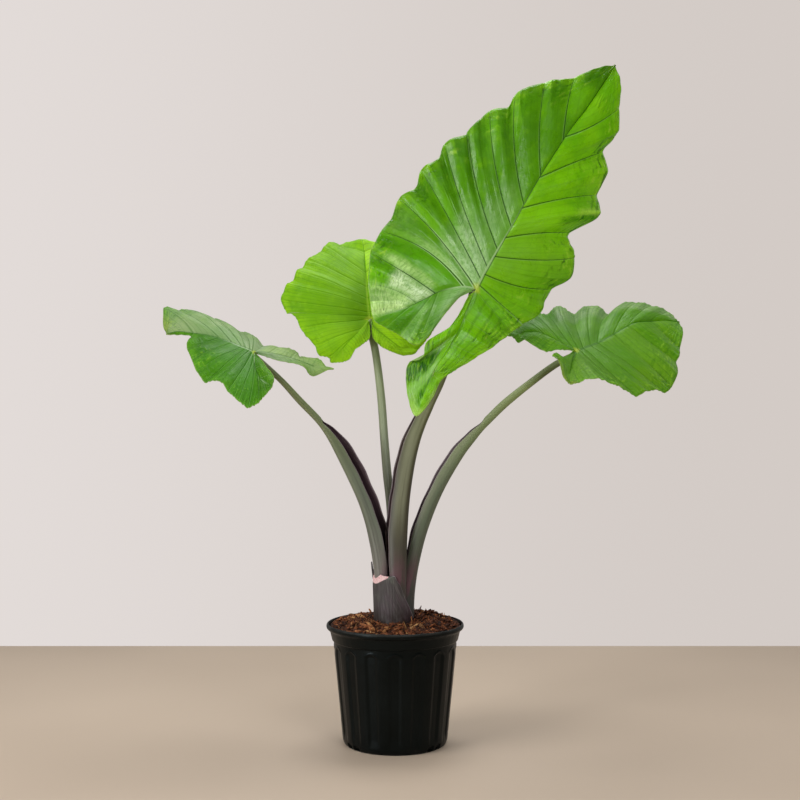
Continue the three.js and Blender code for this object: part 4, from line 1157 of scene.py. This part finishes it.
def old_sheath():
    turns = np.linspace(*SHEATH_TURN, SHEATH_STEPS)
    top = curve_through([row[0] for row in SHEATH_TOP], [row[1:] for row in SHEATH_TOP])(turns)
    outer_top, inner_top, thick, lean = (top[:, k:k + 1] for k in range(4))
    angle = np.radians(turns)[:, None]
    up = np.linspace(0, 1, UP_STEPS)[None, :]
    fibre = 0.12 * np.sin(angle * 47 + 2 * up) + 0.12 * np.sin(angle * 83 - 3 * up)
    swell = mix(-1.2, 0.3, up) + 0.5 * np.sin(angle * 5 + 4 * up) * smooth(0, 0.5, up)
    swell = swell + 4.5 * smooth(-182, -191, turns)[:, None] * smooth(0.6, 1, up)
    out_r = SHEATH_RADIUS + swell + fibre * smooth(0, 0.1, up) * smooth(1, 0.85, up)
    in_r = SHEATH_RADIUS + swell - thick
    out_z = SHEATH_FOOT + (outer_top - SHEATH_FOOT) * up
    in_z = SHEATH_FOOT + (inner_top - SHEATH_FOOT) * up
    share = np.linspace(0, 1, CUT_STEPS)[None, 1:-1]
    cut_r = mix(out_r[:, -1:], in_r[:, -1:], share)
    cut_z = mix(out_z[:, -1:], in_z[:, -1:], share)
    in_turn = angle - np.radians(lean) * smooth(0.8, 1, up)
    cut_turn = mix(angle, in_turn[:, -1:], share)
    r = np.concatenate([out_r, cut_r, in_r[:, ::-1]], axis=1)
    z = np.concatenate([out_z, cut_z, in_z[:, ::-1]], axis=1)
    turned = np.concatenate([angle + 0 * up, cut_turn, in_turn[:, ::-1]], axis=1)
    points = np.stack([r * np.cos(turned), r * 0.92 * np.sin(turned) + 1, z], axis=-1) * MM
    plain, flesh = np.zeros(UP_STEPS - 1), np.ones(CUT_STEPS - 2)
    cut = np.concatenate([plain, [0.6], flesh, [0.6], plain])[None, :]
    cut = cut * smooth(1.2, 3, inner_top - outer_top) * smooth(-180, -175, turns)[:, None]
    cut = np.maximum(cut, cut[:, :1])
    below_top = np.broadcast_to(np.maximum(outer_top, inner_top), z.shape) - z
    return points, {"cut": cut + 0 * z, "below_top": below_top, "turned": angle + 0 * z}


points, numbers = old_sheath()
print("sheath grid:", points.shape[:2])

# %% The sheath's finish


def sheath_finish():
    finish = Finish("old_sheath_skin", "#4a4644")
    turned, cut, below = map(finish.attribute, ("turned", "cut", "below_top"))
    height = finish.height()
    across = turned * 22.0 + (height - 0.21) * turned.step(-2.6, -1.5, 0.0, 240.0)
    streaks = finish.drawn_out(across, height * 16.0, detail=4.0)
    blotch = finish.noise(38.0)
    finish.paint("#393434", streaks.step(0.35, 0.65))
    finish.paint("#4e3c46", blotch.step(0.5, 0.68) * 0.5)
    finish.paint("#4a3a43", turned.step(-1.5, -0.9) * 0.75)
    finish.paint("#5e6658", blotch.step(0.44, 0.3) * 0.5)
    sheen = finish.drawn_out(across * 0.35, height * 12.0, 7.0, detail=2.0)
    finish.paint("#6c6664", sheen.step(0.48, 0.72) * 0.35)
    dim = finish.drawn_out(across * 0.2, height * 26.0, 2.0)
    finish.paint("#2e2628", dim.step(0.48, 0.64) * 0.55)
    stained = height.step(0.262, 0.228) * finish.noise(110.0, 4.0).step(0.35, 0.6, 0.3, 1.0)
    finish.paint("#241811", stained * 0.85)
    finish.paint("#2c2326", turned.step(-3.15, -3.25))
    finish.paint("#a79aa0", below.step(1.6, 0.4) * turned.step(-1.75, -1.6) * 0.8)
    pores = finish.noise(620.0, 2.0)
    flesh = finish.colour_mix(pores.step(0.4, 0.62), "#f4d3d2", "#d39a9c")
    flesh = finish.colour_mix(finish.noise(150.0).step(0.5, 0.7) * 0.5, flesh, "#efe2d2")
    finish.paint(flesh, cut.step(0.35, 0.65))
    return finish.use(streaks.step(0.3, 0.7, 0.42, 0.58), streaks * 0.6 + pores * cut * 0.5, 0.7 * MM)


piece("old_sheath", points.reshape(-1, 3), tube_faces(*points.shape[:2]), [sheath_finish()],
      replaces=("cut_sheath",), slot="sheath", **numbers)

# %% [markdown]
# ## The nursery pot
# The pot is blow moulded: a thin black wall with sixteen pressed flutes that end in arches under the
# rim, a raised line below the flared band, and drain notches at the foot. A lathe curve would make
# a plain pot. Here the outline is turned in small steps and every step is pressed in by the depth
# of flute and notch at that spot, so flutes, arches and wall are one skin.

# %% Outline and flutes
FLUTES = 16
STEPS_PER_FLUTE = 30
FLUTE_DEPTH = 2.8
FLUTE_TOP = 183
FLUTE_FOOT = 8
FLUTE_ARCH = 5
FLUTE_CURVE = 5
ARCH_BEAD = 0.8
NOTCH_TURNS = [pair + side for pair in (38, 138, 218, 318) for side in (-6, 6)]
NOTCH_DEPTH = 8
NOTCH_SIDE = 4.4, 3.8        # degrees from a notch's middle, where its side begins and ends
NOTCH_BOTTOM, NOTCH_TOP = (0.3, 1.2), (11, 10)
CORNER = 1.4                 # how far a corner of the outline is rounded
ARCH_ZONE = 160, 191         # heights between which the wall's steps are finer, for the arches
FINE_STEP, COARSE_STEP = 1.1, 5
POT_OUTLINE = ((70, 1.8), (85, 1.6), (87, 0), (92, 0), (94.6, 2.5), (96.6, FLUTE_FOOT), (97.3, 12),
               (112.2, 166), (112.9, 190), (113.6, 190.8),
               (116.4, 191.6), (117, 194.5), (120.2, 207.5), (121.8, 210.8), (125, 212), (126.8, 214.4),
               (127, 217), (126.8, 219), (125.8, 221), (124.2, 221.9), (123.2, 221), (122.2, 217),
               (118.4, 206), (115.2, 193.5), (111.4, 188), (110.4, 166), (95.3, 14), (93, 6),
               (86, 4), (70, 4))


def rounded(outline, reach, steps):
    """The outline with each corner turned into a short curve, and long stretches divided."""
    outline = np.array(outline, float)
    fine = [outline[0]]
    for before, corner, after in zip(outline, outline[1:], outline[2:]):
        first = corner + (before - corner) * min(0.45, reach / np.linalg.norm(before - corner))
        last = corner + (after - corner) * min(0.45, reach / np.linalg.norm(after - corner))
        for t in np.linspace(0, 1, steps):
            fine.append((1 - t)**2 * first + 2 * t * (1 - t) * corner + t * t * last)
    fine.append(outline[-1])
    divided = [fine[0]]
    for a, b in zip(fine, fine[1:]):
        at_arches = ARCH_ZONE[0] < min(a[1], b[1]) and max(a[1], b[1]) < ARCH_ZONE[1] and a[1] < b[1]
        step = FINE_STEP if at_arches else COARSE_STEP
        count = max(1, int(np.linalg.norm(b - a) / step))
        divided += [a + (b - a) * k / count for k in range(1, count + 1)]
    return np.array(divided)


def nursery_pot():
    outline = rounded(POT_OUTLINE, CORNER, 4)
    radius, z = outline[:, 0][None, :], outline[:, 1][None, :]
    steps = FLUTES * STEPS_PER_FLUTE
    angle = (np.arange(steps) / steps * 2 * np.pi)[:, None]
    across = np.cos((angle + np.pi / 2) * FLUTES)
    arch = smooth(0, FLUTE_ARCH, FLUTE_TOP - z - FLUTE_CURVE * (1 - across))
    foot = smooth(FLUTE_FOOT, FLUTE_FOOT + 22, z)
    press = FLUTE_DEPTH * smooth(-0.45, 0.7, across) * arch * foot
    outside = (np.arange(outline.shape[0]) < np.argmax(outline[:, 1]))[None, :]
    for turn in NOTCH_TURNS:
        off = np.abs((np.degrees(angle) - turn + 180) % 360 - 180)
        notch = NOTCH_DEPTH * smooth(*NOTCH_SIDE, off) * smooth(*NOTCH_BOTTOM, z) * smooth(*NOTCH_TOP, z)
        press = press + notch * outside
    wobble = 0.25 * np.sin(angle * 2 + 0.6) + 0.15 * np.sin(angle * 3 + z / 60)
    bead = ARCH_BEAD * np.exp(-((FLUTE_TOP - z - FLUTE_CURVE * (1 - across) + 1) / 1.3)**2)
    bead = bead * smooth(-0.6, 0, across)
    r = radius - press + bead * outside + wobble * smooth(4, 30, z)
    points = np.stack([r * np.cos(angle), r * np.sin(angle), z + 0 * angle], axis=-1) * MM
    return points, {"turned": np.broadcast_to(angle, r.shape)}


points, numbers = nursery_pot()
print("pot grid:", points.shape[:2])

# %% The pot's finish


def pot_finish():
    finish = Finish("black_pot_plastic", "#050706")
    turned = finish.attribute("turned")
    height = finish.height()
    cloud = finish.noise(16.0, 4.0)
    ripple = finish.drawn_out(turned * 9.0, height * 14.0)
    scuff = finish.drawn_out(turned * 90.0, height * 30.0).step(0.66, 0.78)
    dust = finish.noise(60.0, 5.0).step(0.55, 0.8) * height.step(0.02, 0.0, 0.0, 0.1)
    crumbs = finish.noise(240.0).step(0.64, 0.74) * height.step(0.2, 0.222, 0.05, 0.7)
    # Painted highlight along the rim's rolled lip.
    lip = height.step(0.2165, 0.2195) * finish.noise(30.0, 2.0).step(0.35, 0.6, 0.5, 1.0)
    finish.paint("#090c0b", cloud.step(0.35, 0.7))
    finish.paint("#4a3b30", dust)
    finish.paint("#3d2c22", crumbs * 0.6)
    finish.paint("#3a3d3b", scuff * 0.25)
    finish.paint("#484845", lip * 0.35)
    rough = cloud.step(0.3, 0.7, 0.3, 0.38) + scuff * 0.12 + dust * 0.2
    relief = ripple * 1.2 + finish.noise(900.0, 2.0) * 0.06
    return finish.use(rough, relief, 0.5 * MM, Specular_IOR_Level=0.13, Specular_Tint=(0.8, 0.95, 1, 1))


piece("fluted_pot", points.reshape(-1, 3), turned_faces(*points.shape[:2]), [pot_finish()],
      replaces=("nursery_pot",), slot="pot_plastic", **numbers)

# %% [markdown]
# ## Bark and soil
# Bark chips and coir fill the pot and are heaped a little against the stalks. Scattering real objects
# needs instances, which don't export well. Rather than scattered instances, one dark bed fills the pot,
# and 1,500 bent flakes and 1,100 thin strands are written into a single mesh, each with its own tint.

# %% The bed
SOIL_EDGE = 213.5
WALL_RADIUS = 120.2
BED_HOLE = (30, 34, 38)      # radii of the rings inside the stalks
BED_HOLE_FOOT = 152
BED_SIDE = (117, 112, 104, 60), (203, 192, 184, 150)     # radii and heights, down inside the wall


def soil_height(x, y):
    """Height of the bed, in mm: highest behind the stalks on the right."""
    r = np.hypot(x, y)
    mound = 8 * smooth(116, 50, r) + 8.5 * smooth(-90, 110, y)
    heap = 12 * np.exp(-(((x - 60) / 32)**2 + ((y - 16) / 46)**2))
    lumps = 1.6 * np.sin(x * 0.21 + 1.3 * np.sin(y * 0.13)) + 1.4 * np.sin(y * 0.24 + x * 0.09)
    crumbs = 0.8 * np.sin(x * 0.9 + 2 * np.sin(y * 0.5)) * np.sin(y * 0.8)
    return SOIL_EDGE + mound + heap * smooth(116, 84, r) + (lumps + crumbs) * smooth(119, 108, r)


def soil_bed():
    rings = np.concatenate([BED_HOLE, np.linspace(40, WALL_RADIUS, 66), BED_SIDE[0]])
    angle = np.linspace(0, 2 * np.pi, 240, endpoint=False)[:, None]
    x, y = rings[None, :] * np.cos(angle), rings[None, :] * np.sin(angle)
    z = soil_height(x, y)
    z[:, -len(BED_SIDE[1]):] = BED_SIDE[1]
    z[:, 0] = BED_HOLE_FOOT
    return np.stack([x, y, z], axis=-1) * MM


def bark_finish():
    finish = Finish("bark_and_soil")
    tint, light = map(finish.attribute, ("tint", "light"))
    patch = finish.noise(90.0, 4.0)
    grain = finish.add("Mapping", values={"Vector": finish.place(), "Scale": (900, 260, 520)})
    fibre = finish.noise(1.0, vector=grain)
    stops = [(0.0, "#24140e"), (0.3, "#583322"), (0.55, "#824c2f"), (0.8, "#a66a42"), (1.0, "#d0a26e")]
    shade = {"Fac": tint + patch.step(0.3, 0.7, -0.18, 0.18)}
    finish.colour = finish.add("ValToRGB", {"stops": stops}, shade)
    finish.paint("#c7935a", light * 0.6)
    finish.paint("#1c0f0a", fibre.step(0.45, 0.75) * 0.5)
    return finish.use(patch.step(0.3, 0.7, 0.7, 0.95), fibre + patch, 1.2 * MM, Specular_IOR_Level=0.2)


bark = bark_finish()
bed = soil_bed()
piece("soil_bed", bed.reshape(-1, 3), turned_faces(*bed.shape[:2]), [bark], replaces=("potting_soil",),
      slot="soil", tint=np.full(bed.shape[:2], 0.16), light=np.zeros(bed.shape[:2]))

# %% One chip
CHIP_RINGS = 6
CHIP_CORNERS = (-1, -1), (1, -1), (1, 1), (-1, 1)
# Width, thickness and bend, as shares of the length, and how far it tilts, as an angle.
FLAKE = (0.3, 0.6), (0.1, 0.2), 0.3, 0.38
STRAND = (0.05, 0.1), (0.05, 0.08), 0.9, 0.3
chance = random.Random(31)


def turning(axis, angle):
    """The matrix of a turn about x, y or z."""
    a, b = {"x": (1, 2), "y": (2, 0), "z": (0, 1)}[axis]
    made = np.eye(3)
    made[a, a] = made[b, b] = math.cos(angle)
    made[b, a] = math.sin(angle)
    made[a, b] = -made[b, a]
    return made


def chip(x, y, length, form, stand=0.0):
    """One flake or strand: a bent, ragged slab, thinner at its ends, that stands up by an angle."""
    widths, thicks, bend_most, tilt = form
    width = length * chance.uniform(*widths)
    thick = length * chance.uniform(*thicks)
    bend = chance.uniform(-bend_most, bend_most) * length
    made = []
    for a in np.linspace(-1, 1, CHIP_RINGS):
        taper = max(0.25, 1 - abs(a)**3)
        for side, top in CHIP_CORNERS:
            made.append((a * length / 2 + chance.uniform(-0.06, 0.06) * length,
                         side * width / 2 * taper * chance.uniform(0.75, 1.15),
                         top * thick / 2 * taper + bend * (a * a - 0.3) * 0.5))
    turn, roll = chance.uniform(0, math.tau), chance.gauss(0, tilt)
    pitch = chance.gauss(stand, tilt)
    z = float(soil_height(x, y)) + chance.uniform(-0.5, 0.32) * length * 0.5
    turned = turning("z", turn) @ turning("y", pitch) @ turning("x", roll)
    return np.array(made) @ turned.T + (x, y, z)


print("points on a chip:", CHIP_RINGS * len(CHIP_CORNERS))

# %% Bark chips and coir strands
CHIP_COUNT = 1500
STRAND_COUNT = 1100
CURL_COUNT = 70              # strands that stand up out of the bark
CHIP_LENGTHS = (5, 6, 7, 8, 10, 12, 15, 19)
CURL_LENGTHS, STRAND_LENGTHS = (16, 27), (6, 15)
CHIP_ZONE, STRAND_ZONE, BY_STALKS = (34, 118), (40, 114), (41, 58)      # distances from the axis
CHIP_REACH = 120             # no flake reaches further out than this


def spread_out(near, far):
    """A distance from the axis, such that chips lie equally thick near and far."""
    return math.sqrt(chance.uniform(near**2, far**2))


def bark_chips():
    """Flakes all over the bed, and then strands, of which every fourth lies close by the stalks."""
    points, tints, lights = [], [], []

    def lay(made, middle, spread, lit_share, lit):
        """Adds a chip with a tint of its own, and gives a share of them a light tone."""
        tint = min(1, max(0, chance.gauss(middle, spread)))
        light = float(chance.random() < lit_share) * chance.uniform(*lit)
        points.append(made)
        tints.extend([tint] * len(made))
        lights.extend([light] * len(made))

    while len(points) < CHIP_COUNT:
        r = spread_out(*CHIP_ZONE)
        turn = chance.uniform(0, math.tau)
        x, y = r * math.cos(turn), r * math.sin(turn)
        length = chance.choice(CHIP_LENGTHS)
        if r + length / 2 > CHIP_REACH:
            continue
        front = float(np.exp(-(((x + 30) / 40)**2 + ((y + 75) / 40)**2)))
        middle = 0.4 + 0.3 * front - 0.1 * (x > 40)
        lay(chip(x, y, length, FLAKE), middle, 0.24, 0.03 + 0.2 * front, (0.2, 0.8))
    for k in range(STRAND_COUNT):
        r = chance.uniform(*BY_STALKS) if k % 4 == 0 else spread_out(*STRAND_ZONE)
        turn = chance.uniform(0, math.tau)
        x, y = r * math.cos(turn), r * math.sin(turn)
        curl = k < CURL_COUNT
        length = chance.uniform(*(CURL_LENGTHS if curl else STRAND_LENGTHS))
        lay(chip(x, y, length, STRAND, float(curl)), 0.25 if curl else 0.5, 0.22, 0.12, (0.3, 0.9))
    one = tube_faces(CHIP_RINGS, len(CHIP_CORNERS))
    faces = [[c + k * len(points[0]) for c in face] for k in range(len(points)) for face in one]
    return np.concatenate(points) * MM, faces, tints, lights


points, faces, tints, lights = bark_chips()
piece("bark_chips", points, faces, [bark], slot="soil", tint=tints, light=lights)

# %% [markdown]
# ## The rootstock
# The corm sits deep in the bark, and only shows where chips leave a gap. Its plain solid has the
# right shape, so it stays and is given a ringed, fibrous brown skin.

# %% Corm finish
corm_finish = Finish("corm_skin", "#3b2a1e")
rings = (corm_finish.height() * 900 + corm_finish.noise(40.0) * 6).sine()
fibres = corm_finish.noise(300.0, 4.0)
corm_finish.paint("#7d6448", fibres.step(0.3, 0.7))
corm_finish.paint("#2a1c14", rings.step(0.3, 1.0) * 0.5)
corm_skin = corm_finish.use(fibres.step(0.3, 0.7, 0.7, 0.9), rings * 0.5 + fibres, 1.0 * MM)
corm_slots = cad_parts["corm"].material_slots
for slot in corm_slots:
    slot.material = corm_skin
print("corm slots:", len(corm_slots))

# %% [markdown]
# ## The floor
# A pale, plain floor takes the pot's soft shadow. It ends a little way behind the plant, where the
# even tone of the room takes over as a wall would, and not far out on the other sides, so that the
# plant stands before the pale room from every side.

# %% Floor
FLOOR_BACK = 0.911
FLOOR_FRONT = -2.4
FLOOR_SIDE = 2.4
floor_mesh = bpy.data.meshes.new("floor")
floor_corners = [(-FLOOR_SIDE, FLOOR_FRONT, 0), (FLOOR_SIDE, FLOOR_FRONT, 0),
                 (FLOOR_SIDE, FLOOR_BACK, 0), (-FLOOR_SIDE, FLOOR_BACK, 0)]
floor_mesh.from_pydata(floor_corners, [], [(0, 1, 2, 3)])
floor = bpy.data.objects.new("floor", floor_mesh)
bpy.context.collection.objects.link(floor)
floor_finish = Finish("pale_floor", "#c9b6a2")
floor_finish.paint("#cfbca8", floor_finish.noise(1.2, 2.0).step(0.3, 0.7))
floor_mesh.materials.append(floor_finish.use(0.6))
